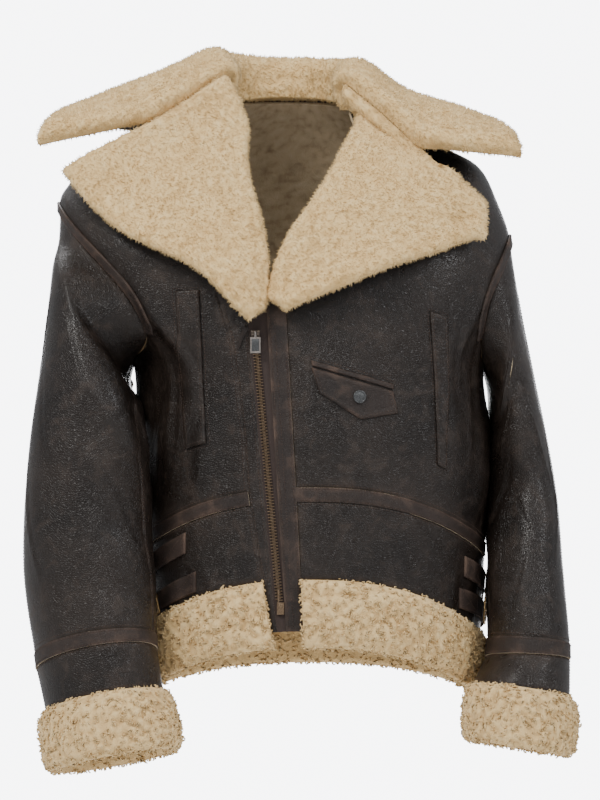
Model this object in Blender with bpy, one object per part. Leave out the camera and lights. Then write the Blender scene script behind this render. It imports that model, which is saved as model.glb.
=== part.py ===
"""Shearling aviator jacket: leather outside, wool inside, hollow, in the shape it has when worn.

Tables are in millimetres and degrees; meshes are built in metres, +Z up, front toward -Y.
The origin is at the nape, in the middle of the neck opening. Left and right are as in use:
side +1 is left (+X) and side -1 is right (-X).
The body is one surface of rings, from the neck seam (row 0) to the hem (row 12). Every panel is a
patch of it between named lines, and what lies on a panel is the same surface moved outward.
"""
import math
from functools import lru_cache

import bmesh
import bpy
from mathutils import Matrix, Vector

MM = 0.001
SEAM_GAP = 0.3
HALF_GAP = 0.5 * SEAM_GAP
WALL = 6.0
TRIM_PROUD = 1.2
LAY_GAP = 0.5
WELT_LIFT = {-1: 1.8, 1: 1.0}
SQUARENESS = 2.3
DROP_POWER = 1.5

# ---------------------------------------------------------------- body rings
# centre x, half width, front depth, back depth, front z, side z, back z, sideways tilt
BODY_RINGS = (
    (-8, 80, 66, 62, -40, 2, 8, 0),
    (-8, 134, 97, 92, -88, -26, -24, 0),
    (-8, 190, 123, 118, -134, -52, -64, 0),
    (-12, 230, 140, 133, -172, -75, -102, 2),
    (-11, 249, 148, 141, -200, -101, -130, -9),
    (-8, 263, 152, 146, -226, -145, -158, -20),
    (2, 245, 157, 149, -266, -222, -215, -12),
    (20, 202, 160, 150, -320, -300, -292, -6),
    (24, 203, 162, 148, -385, -405, -395, 0),
    (22, 199, 160, 145, -444, -512, -500, 0),
    (22, 199, 160, 145, -460, -528, -516, 0),
    (21, 198, 158, 145, -549, -620, -600, 0),
    (20, 196, 157, 146, -626, -690, -660, 0),
)
NECK, TIP, UNDERARM, BAND_TOP, BAND_BOTTOM, HEM = 0, 5, 7, 9, 10, 12

# angle, z, half angle, half height, angle drift per mm, height (all on the body)
BODY_FOLDS = (
    (-38, -268, 4.5, 80, 0.01, 5.0),
    (-24, -400, 6.0, 45, 0.05, -3.5),
    (47, -330, 6.0, 70, -0.04, 4.0),
    (33, -415, 8.0, 30, -0.16, -3.5),
    (72, -440, 7.0, 50, 0.05, 4.5),
    (-70, -440, 7.0, 55, -0.05, 4.5),
    (140, -360, 8.0, 95, 0.04, 5.0),
    (214, -330, 7.0, 105, -0.05, 4.5),
    (180, -430, 12.0, 45, 0.10, -4.0),
    (163, -250, 9.0, 60, -0.05, -3.0),
)

# ---------------------------------------------------------------- lines on the front: z, x
ROLL_RIGHT = ((0, -74), (-25, -57), (-49, -58), (-76, -57), (-97, -53), (-118, -49), (-139, -42))
SIDE_FRONT_LINE = ROLL_RIGHT + (
    (-165, -52), (-200, -74), (-226, -84), (-275, -69), (-322, -62), (-387, -55), (-443, -51),
    (-513, -40), (-551, -33), (-590, -27), (-632, -19), (-700, -10))
STRIP_ZIP_LINE = ((-150, -35), (-190, -28), (-213, -30), (-251, -50), (-302, -46), (-575, -21),
                  (-600, -18), (-632, -12))
PLACKET_ZIP_LINE = ((-225, -30), (-322, -24), (-520, -12), (-632, -5))
PLACKET_OUTER_LINE = (
    (0, 66), (-12, 68), (-25, 73), (-41, 71), (-61, 61), (-80, 53), (-106, 40), (-127, 25), (-141, 14),
    (-163, 2), (-190, -7), (-238, -7), (-322, -2.3), (-520, 8.6), (-632, 14.5))
ZIP_SLOPE = -25.0 / 273.0
ZIP_TOP_X, ZIP_TOP_Z = -39.0, -302.0

# ---------------------------------------------------------------- armholes, by side
ARM_FRONT = {-1: 45.0, 1: 27.0}
ARM_BACK = {-1: 36.0, 1: 36.0}
ARM_STEPS = 10
ARM_BAND_WIDTH = 14.0
ARM_BAND_REACH = 118.0

# ---------------------------------------------------------------- sleeve sections, by side
# outer x, y, z; inner x, y, z; half depth; rise of the front
SLEEVE_RINGS = {
    -1: (
        (-271, -4, -178, -190, -56, -322, 96, 0),
        (-273, -24, -232, -178, -106, -344, 82, 4),
        (-279, -52, -300, -172, -146, -396, 70, 8),
        (-292, -66, -412, -171, -142, -450, 70, 12),
        (-302, -86, -540, -160, -150, -545, 66, 16),
        (-290, -106, -640, -157, -158, -607, 60, 20),
        (-288, -109, -657, -156, -160, -622, 59, 20),
        (-277, -117, -706, -148, -166, -672, 58, 16),
        (-268, -126, -770, -134, -174, -738, 62, 12),
    ),
    1: (
        (262, 2, -212, 228, -2, -334, 84, 0),
        (271, 4, -262, 229, -4, -370, 84, 0),
        (283, 4, -325, 229, -6, -398, 82, 0),
        (303, -2, -440, 228, -14, -458, 78, 3),
        (310, -45, -548, 226, -64, -542, 70, 8),
        (315, -72, -628, 228, -98, -616, 63, 9),
        (315, -76, -645, 226, -103, -636, 62, 9),
        (314, -92, -688, 212, -126, -668, 60, 8),
        (311, -106, -752, 206, -140, -732, 63, 6),
    ),
}
FOREARM_TOP, FOREARM_BOTTOM, CUFF_TOP = 6, 7, 8
TURN_STEP = 180.0 / ARM_STEPS
OUTER_SEAM = TURN_STEP

# ring row, angle, half rows, half angle, drift of angle per row, height
SLEEVE_FOLDS = {
    -1: ((3.3, 150, 0.22, 42, 20, -3.2), (3.9, 120, 0.22, 50, -25, 3.5), (4.5, 160, 0.22, 45, 20, -3.0),
         (4.6, 60, 0.4, 22, 12, 3.0), (5.3, 100, 0.25, 45, 30, -2.5), (3.9, 250, 0.3, 40, 25, 4.0),
         (4.7, 290, 0.25, 40, -20, -3.5)),
    1: ((2.6, 120, 0.25, 38, 30, -3.5), (3.3, 95, 0.25, 42, -30, 4.0), (3.9, 120, 0.22, 40, 25, -3.8),
        (4.4, 60, 0.35, 25, 12, 3.5), (3.6, 245, 0.3, 40, 20, 4.0), (4.8, 250, 0.25, 45, -20, -3.5)),
}

# ---------------------------------------------------------------- turned-back wool
# row, outer offset, inner offset
HEM_PROFILE = ((11.0, 2, -6), (11.07, 7, -7), (11.25, 10, -8), (11.5, 11, -9), (11.75, 10, -9),
               (11.93, 7, -8), (12.0, 2, -5))
CUFF_PROFILE = ((8.0, 2, -6), (8.08, 7, -7), (8.3, 10, -8), (8.65, 10, -9), (8.9, 8, -8), (9.0, 2, -5))

# gorge seam shared by collar and lapel, leather side: x, y, z
GORGE = {
    -1: ((-78, -46, 28), (-123, -64, 0), (-160, -73, -24)),
    1: ((64, -44, 20), (99, -62, -10), (146, -75, -54)),
}
GORGE_UP = Vector((0, -0.72, 0.69)).normalized()
GORGE_DOWN = Vector((0, -0.69, -0.72)).normalized()
COLLAR_TIP = {-1: (-286, -62, -50), 1: (258, -60, -64)}
# neck angle; crest x, y, z; middle of the fall x, y, z; edge x, y, z; wool at the edge
COLLAR_STATIONS = (
    (-74, -86, -10, 45, -152, -26, 14, -272, -20, -36, 26),
    (-100, -85, 16, 45, -144, 26, 17, -242, 32, -24, 24),
    (-130, -68, 46, 45, -112, 72, 12, -178, 92, -26, 21),
    (-156, -40, 64, 43, -62, 95, 5, -96, 122, -40, 19),
    (180, -8, 70, 42, -8, 101, 2, -8, 128, -46, 19),
    (156, 24, 64, 41, 46, 95, 1, 80, 120, -46, 19),
    (130, 52, 46, 38, 94, 72, 3, 154, 92, -40, 20),
    (100, 69, 16, 35, 122, 26, 1, 220, 32, -38, 24),
    (74, 69, -10, 33, 132, -26, -9, 247, -20, -49, 25),
)
COLLAR_FRONT_ANGLE = 66.0
COLLAR_WOOL = 16.0
COLLAR_TIP_WOOL = 24.0
COLLAR_FOOT = 1.3
CREST_WIDTH = 8.0

# lapel rows: roll x, z; edge x, z, y
LAPEL_ROWS = {
    -1: ((-66, 6, -249, -96, -98), (-52, -30, -222, -127, -118), (-52, -72, -190, -154, -136),
         (-46, -108, -154, -172, -152), (-38, -137, -122, -187, -164), (-33, -168, -98, -202, -172),
         (-31, -192, -74, -226, -175), (-33, -215, -59, -243, -173), (-38, -238, -49, -252, -172)),
    1: ((73, -6, 217, -128, -92), (72, -30, 217, -158, -106), (58, -60, 196, -163, -122),
        (40, -96, 168, -175, -140), (20, -127, 140, -184, -152), (0, -157, 97, -199, -166),
        (-13, -185, 52, -218, -174), (-19, -208, 19, -231, -176), (-24, -229, -7, -243, -174)),
}
LAPEL_TIP = {-1: (-256, -88, -86), 1: (217, -84, -124)}
LAPEL_WOOL = 15.0
FALL_COLUMNS = 8
STAND_COLUMNS = 3
GORGE_COLUMNS = 4
LAPEL_GAP = 3.2
LAPEL_STAND_OFF = 14.0

MATERIALS = {
    "leather": ((0.048, 0.037, 0.032, 1), 0.42, 0.0),
    "trim_leather": ((0.068, 0.045, 0.038, 1), 0.5, 0.0),
    "wool": ((0.68, 0.53, 0.33, 1), 0.95, 0.0),
    "tape": ((0.06, 0.032, 0.025, 1), 0.85, 0.0),
    "brass": ((0.45, 0.31, 0.16, 1), 0.35, 1.0),
    "dark_nickel": ((0.2, 0.19, 0.18, 1), 0.35, 1.0),
}


# ---------------------------------------------------------------- curves and surfaces
def row_between(rows, at):
    """A smooth curve through equally spaced rows of numbers, read at a fractional row."""
    last = len(rows) - 1
    low = max(0, min(int(math.floor(at)), last - 1))
    part = at - low
    middle, after = rows[low], rows[low + 1]
    before = rows[low - 1] if low > 0 else [2 * a - b for a, b in zip(middle, after)]
    beyond = rows[low + 2] if low + 2 <= last else [2 * b - a for a, b in zip(middle, after)]
    result = []
    for a, b, c, d in zip(before, middle, after, beyond):
        curve = 2 * b + (c - a) * part + (2 * a - 5 * b + 4 * c - d) * part ** 2
        result.append(0.5 * (curve + (3 * b - a - 3 * c + d) * part ** 3))
    return result


def line_x(line, z):
    """x of a line on the front, at height z."""
    for (z_high, x_high), (z_low, x_low) in zip(line, line[1:]):
        if z >= z_low:
            return x_high + (x_low - x_high) * (z_high - z) / (z_high - z_low)
    return line[-1][1]


def zip_x(z):
    return ZIP_TOP_X + (z - ZIP_TOP_Z) * ZIP_SLOPE


def curved(value, power):
    return math.copysign(abs(value) ** power, value)


def body_base(row, angle):
    centre, width, front, back, front_z, side_z, back_z, tilt = row_between(BODY_RINGS, row)
    across, along = math.sin(math.radians(angle)), math.cos(math.radians(angle))
    depth, end_z = (front, front_z) if along > 0 else (back, back_z)
    x = centre + width * curved(across, 2 / SQUARENESS)
    y = -depth * curved(along, 2 / SQUARENESS)
    z = side_z + tilt * across + (end_z - side_z) * abs(along) ** DROP_POWER
    return Vector((x, y, z))


def body_normal(surface, row, angle):
    step = 0.02
    down = surface(row + step, angle) - surface(row - step, angle)
    around = surface(row, angle + 1) - surface(row, angle - 1)
    return down.cross(around).normalized()


def fold_height(folds, angle, height):
    total = 0.0
    for fold_angle, fold_at, half_angle, half_height, drift, size in folds:
        along = height - fold_at
        off = (angle - fold_angle - drift * along + 180) % 360 - 180
        total += size * math.exp(-(off / half_angle) ** 2 - (along / half_height) ** 2)
    return total


@lru_cache(maxsize=None)
def body_point(row, angle):
    base = body_base(row, angle)
    return base + body_normal(body_base, row, angle) * fold_height(BODY_FOLDS, angle, base.z)


@lru_cache(maxsize=None)
def body_frame(row, angle):
    return body_point(row, angle), body_normal(body_point, row, angle)


@lru_cache(maxsize=None)
def angle_on_line(row, line):
    """Angle at which a body ring crosses a line on the front."""
    low, high = -88.0, 88.0
    for _ in range(34):
        middle = 0.5 * (low + high)
        point = body_base(row, middle)
        if point.x < line_x(line, point.z):
            low = middle
        else:
            high = middle
    return 0.5 * (low + high)


def row_at_height(angle, z):
    low, high = 0.0, float(HEM)
    for _ in range(34):
        middle = 0.5 * (low + high)
        if body_base(middle, angle).z > z:
            low = middle
        else:
            high = middle
    return 0.5 * (low + high)


@lru_cache(maxsize=None)
def place_on_front(x, z):
    """Row and angle of the front point seen at x, z."""
    low, high = 0.0, float(HEM)
    for _ in range(26):
        middle = 0.5 * (low + high)
        if body_base(middle, angle_on_line(middle, ((z, x),))).z > z:
            low = middle
        else:
            high = middle
    row = 0.5 * (low + high)
    return row, angle_on_line(row, ((z, x),))


# ---------------------------------------------------------------- armholes and sleeves
def armhole_place(side, turn):
    """Row and angle on the body of an armhole point; turn 0 is the top, 90 the front."""
    across = math.sin(math.radians(turn))
    reach = ARM_FRONT[side] if across > 0 else ARM_BACK[side]
    return 6 - math.cos(math.radians(turn)), side * (90 - reach * across)


def armhole_turn(row):
    return math.degrees(math.acos(max(-1.0, min(1.0, 6 - row))))


@lru_cache(maxsize=None)
def sleeve_base(side, row, turn):
    across, along = math.sin(math.radians(turn)), math.cos(math.radians(turn))
    points = [tuple(body_point(*armhole_place(side, turn)))]
    for ox, oy, oz, ix, iy, iz, depth, rise in SLEEVE_RINGS[side]:
        outer, inner = Vector((ox, oy, oz)), Vector((ix, iy, iz))
        width = (outer - inner) / 2
        direction = width.normalized()
        back = Vector((0, 1, 0)) - direction * direction.y
        point = (outer + inner) / 2 + width * along - back.normalized() * depth * across
        points.append(tuple(point + Vector((0, 0, rise * across))))
    return Vector(row_between(points, row))


def surface_normal(surface, side, row, turn):
    step = 0.03
    down = surface(side, row + step, turn) - surface(side, max(row - step, 0), turn)
    around = surface(side, row, turn + 1.5) - surface(side, row, turn - 1.5)
    return down.cross(around).normalized() * -side


@lru_cache(maxsize=None)
def sleeve_point(side, row, turn):
    base = sleeve_base(side, row, turn)
    height = fold_height([(a, r, ha, hr, d, h) for r, a, hr, ha, d, h in SLEEVE_FOLDS[side]], turn, row)
    return base + surface_normal(sleeve_base, side, row, turn) * height


@lru_cache(maxsize=None)
def sleeve_frame(side, row, turn):
    return sleeve_point(side, row, turn), surface_normal(sleeve_point, side, row, turn)


@lru_cache(maxsize=None)
def armhole_seam(side, turn):
    """Point, mitre direction and the way to the sleeve across the seam."""
    point, body_out = body_frame(*armhole_place(side, turn))
    mitre = (body_out + sleeve_frame(side, 0, turn)[1]).normalized()
    ahead = body_point(*armhole_place(side, turn + 1)) - body_point(*armhole_place(side, turn - 1))
    across = ahead.cross(mitre).normalized()
    if across.dot(sleeve_point(side, 0.3, turn) - point) < 0:
        across.negate()
    return point, mitre, across


# ---------------------------------------------------------------- making solids
def material(name):
    made = bpy.data.materials.get(name)
    if made is None:
        colour, roughness, metallic = MATERIALS[name]
        made = bpy.data.materials.new(name)
        made.use_nodes = True
        shader = made.node_tree.nodes["Principled BSDF"]
        shader.inputs["Base Color"].default_value = colour
        shader.inputs["Roughness"].default_value = roughness
        shader.inputs["Metallic"].default_value = metallic
        made.diffuse_color = colour
    return made


def finish(name, mesh, finish_name, carrier, origin=None):
    """Name a bmesh held in millimetres, put its origin in its middle and parent it."""
    bmesh.ops.recalc_face_normals(mesh, faces=mesh.faces)
    if mesh.calc_volume(signed=True) < 0:
        bmesh.ops.reverse_faces(mesh, faces=mesh.faces)
    if origin is None:
        corners = [[pick(v.co[i] for v in mesh.verts) for i in range(3)] for pick in (min, max)]
        origin = (Vector(corners[0]) + Vector(corners[1])) / 2
    bmesh.ops.translate(mesh, verts=mesh.verts, vec=-origin)
    bmesh.ops.scale(mesh, verts=mesh.verts, vec=(MM, MM, MM))
    data = bpy.data.meshes.new(name)
    mesh.to_mesh(data)
    mesh.free()
    data.shade_smooth()
    data.set_sharp_from_angle(angle=math.radians(38))
    data.materials.append(material(finish_name))
    piece = bpy.data.objects.new(name, data)
    piece.location = origin * MM
    piece.parent = carrier
    bpy.context.scene.collection.objects.link(piece)
    return piece


def wall(name, outer, inner, finish_name, carrier, tube=False):
    """A closed wall between two equal grids of points; a tube's columns join end to end."""
    mesh = bmesh.new()
    rows, columns = len(outer), len(outer[0])
    faces = [[[mesh.verts.new(p) for p in row] for row in grid] for grid in (outer, inner)]
    spans = columns if tube else columns - 1
    for grid in faces:
        for i in range(rows - 1):
            for j in range(spans):
                k = (j + 1) % columns
                mesh.faces.new((grid[i][j], grid[i][k], grid[i + 1][k], grid[i + 1][j]))
    out, into = faces
    for i in (0, rows - 1):
        for j in range(spans):
            k = (j + 1) % columns
            mesh.faces.new((out[i][j], out[i][k], into[i][k], into[i][j]))
    if not tube:
        for j in (0, columns - 1):
            for i in range(rows - 1):
                mesh.faces.new((out[i][j], out[i + 1][j], into[i + 1][j], into[i][j]))
    return finish(name, mesh, finish_name, carrier)


def body_patch(name, rows, from_angle, to_angle, columns, finish_name, carrier, outward=None,
               inward=None):
    """A panel of the body between two edges; an edge is (angle of row, armhole or None)."""
    outer, inner = [], []
    for index, row in enumerate(rows):
        shift = HALF_GAP if index == 0 else -HALF_GAP if index == len(rows) - 1 else 0.0
        start, end = from_angle[0](row), to_angle[0](row)
        out_by = outward[index] if outward else 0.0
        in_by = inward[index] if inward else WALL
        outer_row, inner_row = [], []
        for column in range(columns + 1):
            angle = start + (end - start) * column / columns
            point, normal = body_frame(row, angle)
            edge = from_angle if column == 0 else to_angle if column == columns else None
            if edge and edge[1] and TIP <= row <= UNDERARM:
                side, face = edge[1]
                point, normal, across = armhole_seam(side, face * armhole_turn(row))
                point = point - across * HALF_GAP
                if row in (TIP, UNDERARM):
                    beside = (body_point(row, angle + 0.5) - body_point(row, angle - 0.5)).normalized()
                    point = point + beside * (HALF_GAP if column == 0 else -HALF_GAP)
            else:
                around = (body_point(row, angle + 0.5) - body_point(row, angle - 0.5)).normalized()
                down = (body_point(row + 0.02, angle) - body_point(row - 0.02, angle)).normalized()
                pull = HALF_GAP if column == 0 else -HALF_GAP if column == columns else 0.0
                point = point + around * pull + down * shift
            outer_row.append(point + normal * out_by)
            inner_row.append(point - normal * in_by)
        outer.append(outer_row)
        inner.append(inner_row)
    return wall(name, outer, inner, finish_name, carrier)


def side_edge(side, face):
    """Edge at a side: shoulder seam, armhole, then side seam."""
    def angle_of(row):
        if TIP < row < UNDERARM:
            place = armhole_place(side, face * armhole_turn(row))[1]
        else:
            place = side * 90.0
        return place % 360 if face < 0 else place
    return angle_of, (side, face)


def line_edge(line):
    return (lambda row: angle_on_line(row, line)), None


def laid(name, places, thickness, finish_name, carrier, lift=LAY_GAP):
    """A piece lying on the body: a grid of (row, angle) places, moved out."""
    frames = [[body_frame(*place) for place in row] for row in places]
    outer = [[p + n * (lift + thickness) for p, n in row] for row in frames]
    inner = [[p + n * lift for p, n in row] for row in frames]
    return wall(name, outer, inner, finish_name, carrier)


def between(corners, steps_across, steps_down):
    """Places on the front between the x, z corners: top left, top right, bottom left, bottom right."""
    top_left, top_right, low_left, low_right = [Vector(corner) for corner in corners]
    grid = []
    for i in range(steps_down + 1):
        left = top_left.lerp(low_left, i / steps_down)
        right = top_right.lerp(low_right, i / steps_down)
        spots = [left.lerp(right, j / steps_across) for j in range(steps_across + 1)]
        grid.append([place_on_front(round(spot.x, 4), round(spot.y, 4)) for spot in spots])
    return grid


# ---------------------------------------------------------------- body pieces
SHOULDER_ROWS = [0, 0.7, 1.4, 2.1, 2.8, 3.5, 4.0, 4.5]
ARM_ROWS = [6 - math.cos(math.pi * step / ARM_STEPS) for step in range(ARM_STEPS + 1)]
WAIST_ROWS = [7.5, 8, 8.5, 9]
UPPER_ROWS = SHOULDER_ROWS + ARM_ROWS + WAIST_ROWS
LOWER_ROWS = [10, 10.35, 10.7, 11]
HEM_ROWS = [row for row, _, _ in HEM_PROFILE]
STRIP_ROWS = [row for row in UPPER_ROWS if row >= 4.5] + LOWER_ROWS + HEM_ROWS[1:5]
PLACKET_ROWS = [row for row in UPPER_ROWS if row > 5.2] + LOWER_ROWS + HEM_ROWS[1:6]
TAPE_ROWS = [row for row in UPPER_ROWS if row > 5.5] + LOWER_ROWS + HEM_ROWS[1:5]
FRONT_COLUMNS, BACK_COLUMNS = 7, 14
PLACKET_PROUD = 1.5
TAPE_RECESS, TAPE_THICK = 1.0, 1.4


def body_sections(body):
    seam, placket = line_edge(SIDE_FRONT_LINE), line_edge(PLACKET_OUTER_LINE)
    right, left = side_edge(-1, 1), side_edge(1, 1)
    back_left, back_right = side_edge(1, -1), side_edge(-1, -1)
    groups = (
        ("front", UPPER_ROWS, "leather", None, None),
        ("waist_band", [BAND_TOP, BAND_BOTTOM], "trim_leather", [TRIM_PROUD] * 2, None),
        ("lower_front", LOWER_ROWS, "leather", None, None),
        ("hem", HEM_ROWS, "wool", [out for _, out, _ in HEM_PROFILE], [-i for _, _, i in HEM_PROFILE]),
    )
    for name, rows, finish_name, outward, inward in groups:
        kind = (finish_name, body, outward, inward)
        back_name = {"front": "back", "lower_front": "lower_back"}.get(name, name + "_back")
        body_patch(name + "_right", rows, right, seam, FRONT_COLUMNS, *kind)
        body_patch(name + "_left", rows, placket, left, FRONT_COLUMNS, *kind)
        body_patch(back_name, rows, back_left, back_right, BACK_COLUMNS, *kind)
    body_patch("zip_facing_strip", STRIP_ROWS, seam, line_edge(STRIP_ZIP_LINE), 2, "leather", body)
    body_patch("placket", PLACKET_ROWS, line_edge(PLACKET_ZIP_LINE), placket, 2, "trim_leather", body,
               [PLACKET_PROUD] * len(PLACKET_ROWS))
    body_patch("zip_tape", TAPE_ROWS, line_edge(STRIP_ZIP_LINE), line_edge(PLACKET_ZIP_LINE), 2, "tape",
               body, [-TAPE_RECESS] * len(TAPE_ROWS), [TAPE_RECESS + TAPE_THICK] * len(TAPE_ROWS))


def armhole_band(side, body):
    """Strip over the armhole seam, on the body's side of it, fading out near the underarm."""
    steps = 20
    places = []
    for step in range(steps + 1):
        turn = -ARM_BAND_REACH + 2 * ARM_BAND_REACH * step / steps
        row, angle = armhole_place(side, turn)
        across = armhole_seam(side, turn)[2]
        down = (body_point(row + 0.1, angle) - body_point(row - 0.1, angle)) / 0.2
        around = (body_point(row, angle + 1) - body_point(row, angle - 1)) / 2
        line = []
        for share in (0.06, 0.5, 1.0):
            move = across * -ARM_BAND_WIDTH * share
            aa, bb, ab = down.dot(down), around.dot(around), down.dot(around)
            ma, mb = move.dot(down), move.dot(around)
            scale = aa * bb - ab * ab
            line.append((row + (ma * bb - mb * ab) / scale, angle + (mb * aa - ma * ab) / scale))
        places.append(line)
    name = "armhole_band_left" if side > 0 else "armhole_band_right"
    laid(name, places, 2.0, "trim_leather", body, 0.8)


# ---------------------------------------------------------------- sleeves
def sleeve_turn(row, column):
    """Turn of a sleeve column: 0 is the outer seam, ARM_STEPS the underarm seam, then the back."""
    seam = OUTER_SEAM * min(1.0, row)
    share = column / ARM_STEPS
    if column <= ARM_STEPS:
        return seam + (180 - seam) * share
    return 180 + (180 + seam) * (share - 1)


def sleeve_patch(name, side, rows, columns, finish_name, body, offsets, tube=False):
    outer, inner = [], []
    for index, row in enumerate(rows):
        shift = HALF_GAP if index == 0 else -HALF_GAP if index == len(rows) - 1 else 0.0
        outer_row, inner_row = [], []
        for column in columns:
            turn = sleeve_turn(row, column)
            point, normal = sleeve_frame(side, row, turn)
            if row == 0:
                point, normal, across = armhole_seam(side, turn)
                point = point + across * HALF_GAP
            else:
                down = sleeve_point(side, row + 0.02, turn) - sleeve_point(side, row - 0.02, turn)
                point = point + down.normalized() * shift
            if not tube and column in (columns[0], columns[-1]):
                around = sleeve_point(side, row, turn + 0.5) - sleeve_point(side, row, turn - 0.5)
                pull = HALF_GAP if column == min(columns) else -HALF_GAP
                point = point + around.normalized() * pull
            outer_row.append(point + normal * offsets[index][0])
            inner_row.append(point + normal * offsets[index][1])
        outer.append(outer_row)
        inner.append(inner_row)
    wall(name, outer, inner, finish_name, body, tube)


def sleeve(side, body):
    hand = "left" if side > 0 else "right"
    upper = [0, 0.5, 1, 1.6, 2.2, 2.8, 3.3, 3.7, 4.1, 4.5, 5, 5.5, 6]
    plain = [(0.0, -WALL)] * len(upper)
    front, back = range(ARM_STEPS + 1), range(2 * ARM_STEPS, ARM_STEPS - 1, -1)
    sleeve_patch("sleeve_front_" + hand, side, upper, front, "leather", body, plain)
    sleeve_patch("sleeve_back_" + hand, side, upper, back, "leather", body, plain)
    around = range(2 * ARM_STEPS)
    sleeve_patch("forearm_band_" + hand, side, [FOREARM_TOP, FOREARM_BOTTOM], around, "trim_leather",
                 body, [(TRIM_PROUD, -WALL)] * 2, True)
    sleeve_patch("sleeve_lower_" + hand, side, [FOREARM_BOTTOM, 7.5, CUFF_TOP], around, "leather", body,
                 plain, True)
    sleeve_patch("cuff_" + hand, side, [row for row, _, _ in CUFF_PROFILE], around, "wool", body,
                 [(out, into) for _, out, into in CUFF_PROFILE], True)


# ---------------------------------------------------------------- collar and lapels
def bend_through(points, steps):
    return [Vector(row_between(points, (len(points) - 1) * step / steps)) for step in range(steps + 1)]


def thick_skin(name, leather, wool, body, upright, first_column=0):
    """A turned skin: the leather grid, and the wool standing off it by its own heights."""
    rows, columns = len(leather), len(leather[0])
    top = []
    for i in range(rows):
        line = []
        for j in range(columns):
            down = leather[min(i + 1, rows - 1)][j] - leather[max(i - 1, 0)][j]
            along = leather[i][min(j + 1, columns - 1)] - leather[i][max(j - 1, 0)]
            normal = along.cross(down).normalized()
            if i in upright and j >= first_column:
                normal = GORGE_UP
            line.append(leather[i][j] + normal * wool[i][j])
        top.append(line)
    return wall(name, top, leather, "wool", body)


def gorge_line(side, tip):
    """The gorge seam from the roll to the notch, then the free edge to a tip."""
    near, middle, notch = [Vector(point) for point in GORGE[side]]
    half = GORGE_COLUMNS // 2
    free = FALL_COLUMNS - GORGE_COLUMNS
    line = [near.lerp(middle, step / half) for step in range(half)]
    line += [middle.lerp(notch, step / half) for step in range(half)]
    return line + [notch.lerp(Vector(tip), step / free) for step in range(free + 1)]


def rim(distance, radius):
    """Share of the full height at a distance from a rounded rim."""
    inside = max(0.0, min(1.0, distance / radius))
    return math.sqrt(1 - (1 - inside) ** 2) * 0.85 + 0.15


def collar(body):
    """Stand from the neck seam up to the crest, then the fall out over the shoulders."""
    ends = []
    for side in (-1, 1):
        fall = gorge_line(side, COLLAR_TIP[side])
        foot = body_point(NECK, side * COLLAR_FRONT_ANGLE) + Vector((0, 0, COLLAR_FOOT))
        crest = fall[0] + Vector((-side * 2, 7, -2))
        ends.append(([foot, foot.lerp(crest, 0.6), crest] + fall, COLLAR_TIP_WOOL))
    stations = [ends[0]]
    for angle, cx, cy, cz, mx, my, mz, ex, ey, ez, wool in COLLAR_STATIONS:
        foot = body_point(NECK, angle) + Vector((0, 0, COLLAR_FOOT))
        crest, mid, edge = Vector((cx, cy, cz)), Vector((mx, my, mz)), Vector((ex, ey, ez))
        outward = (mid - crest) * Vector((1, 1, 0))
        near = crest + outward.normalized() * CREST_WIDTH
        fall = bend_through([tuple(p) for p in (near, mid, mid.lerp(edge, 0.5), edge)], FALL_COLUMNS)
        stations.append(([foot, foot.lerp(crest, 0.6), crest] + fall, wool))
    stations.append(ends[1])
    count = len(stations) - 1
    steps = 2 * count
    columns = len(stations[0][0])
    leather, heights = [], []
    for step in range(steps + 1):
        at = count * step / steps
        leather.append([Vector(row_between([tuple(path[j]) for path, _ in stations], at))
                        for j in range(columns)])
        edge_wool = row_between([(wool,) for _, wool in stations], at)[0]
        end = min(step, steps - step)
        row_heights = []
        for j in range(columns):
            height = COLLAR_WOOL + (edge_wool - COLLAR_WOOL) * j / (columns - 1)
            height *= rim(columns - 0.5 - j, 2.0) * rim(j + 0.6, 1.5) * rim(end + 0.4, 1.6)
            row_heights.append(height)
        heights.append(row_heights)
    return thick_skin("collar", leather[::-1], heights[::-1], body, (0, steps), STAND_COLUMNS)


def lapel(side, body):
    """Front edge folded back at the roll line: lies near the front there, stands off at its edge."""
    hand = "left" if side > 0 else "right"
    rows = [[point + GORGE_DOWN * 2 * SEAM_GAP for point in gorge_line(side, LAPEL_TIP[side])]]
    for roll_x, roll_z, edge_x, edge_z, edge_y in LAPEL_ROWS[side]:
        roll_y = body_frame(*place_on_front(roll_x, roll_z))[0].y - LAPEL_GAP
        start, end = Vector((roll_x, roll_y, roll_z)), Vector((edge_x, edge_y, edge_z))
        rows.append([start.lerp(end, step / FALL_COLUMNS) for step in range(FALL_COLUMNS + 1)])
    count = len(rows) - 1
    steps = int(1.5 * count)
    leather, heights = [], []
    for step in range(steps + 1):
        at = count * step / steps
        line = [Vector(row_between([tuple(row[j]) for row in rows], at)) for j in range(FALL_COLUMNS + 1)]
        for j, point in enumerate(line):
            if step > 0:
                stand_off = LAPEL_GAP + LAPEL_STAND_OFF * (j / FALL_COLUMNS) ** 2
                point.y = min(point.y, front_depth(point.x, point.z) - stand_off)
        end = min(step, steps - step)
        heights.append([LAPEL_WOOL * rim(j + 0.25, 1.6) * rim(FALL_COLUMNS - j, 1.8) * rim(end + 0.3, 1.7)
                        for j in range(FALL_COLUMNS + 1)])
        leather.append(line)
    if side > 0:
        leather = [row[::-1] for row in leather]
        heights = [row[::-1] for row in heights]
    return thick_skin("lapel_" + hand, leather, heights, body, (0,))


@lru_cache(maxsize=None)
def front_depth(x, z):
    """y of the front at x, z, or far back where the body doesn't reach."""
    row, angle = place_on_front(x, z)
    if abs(angle) > 86 or row < 0.01:
        return 500.0
    return body_point(row, angle).y


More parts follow.
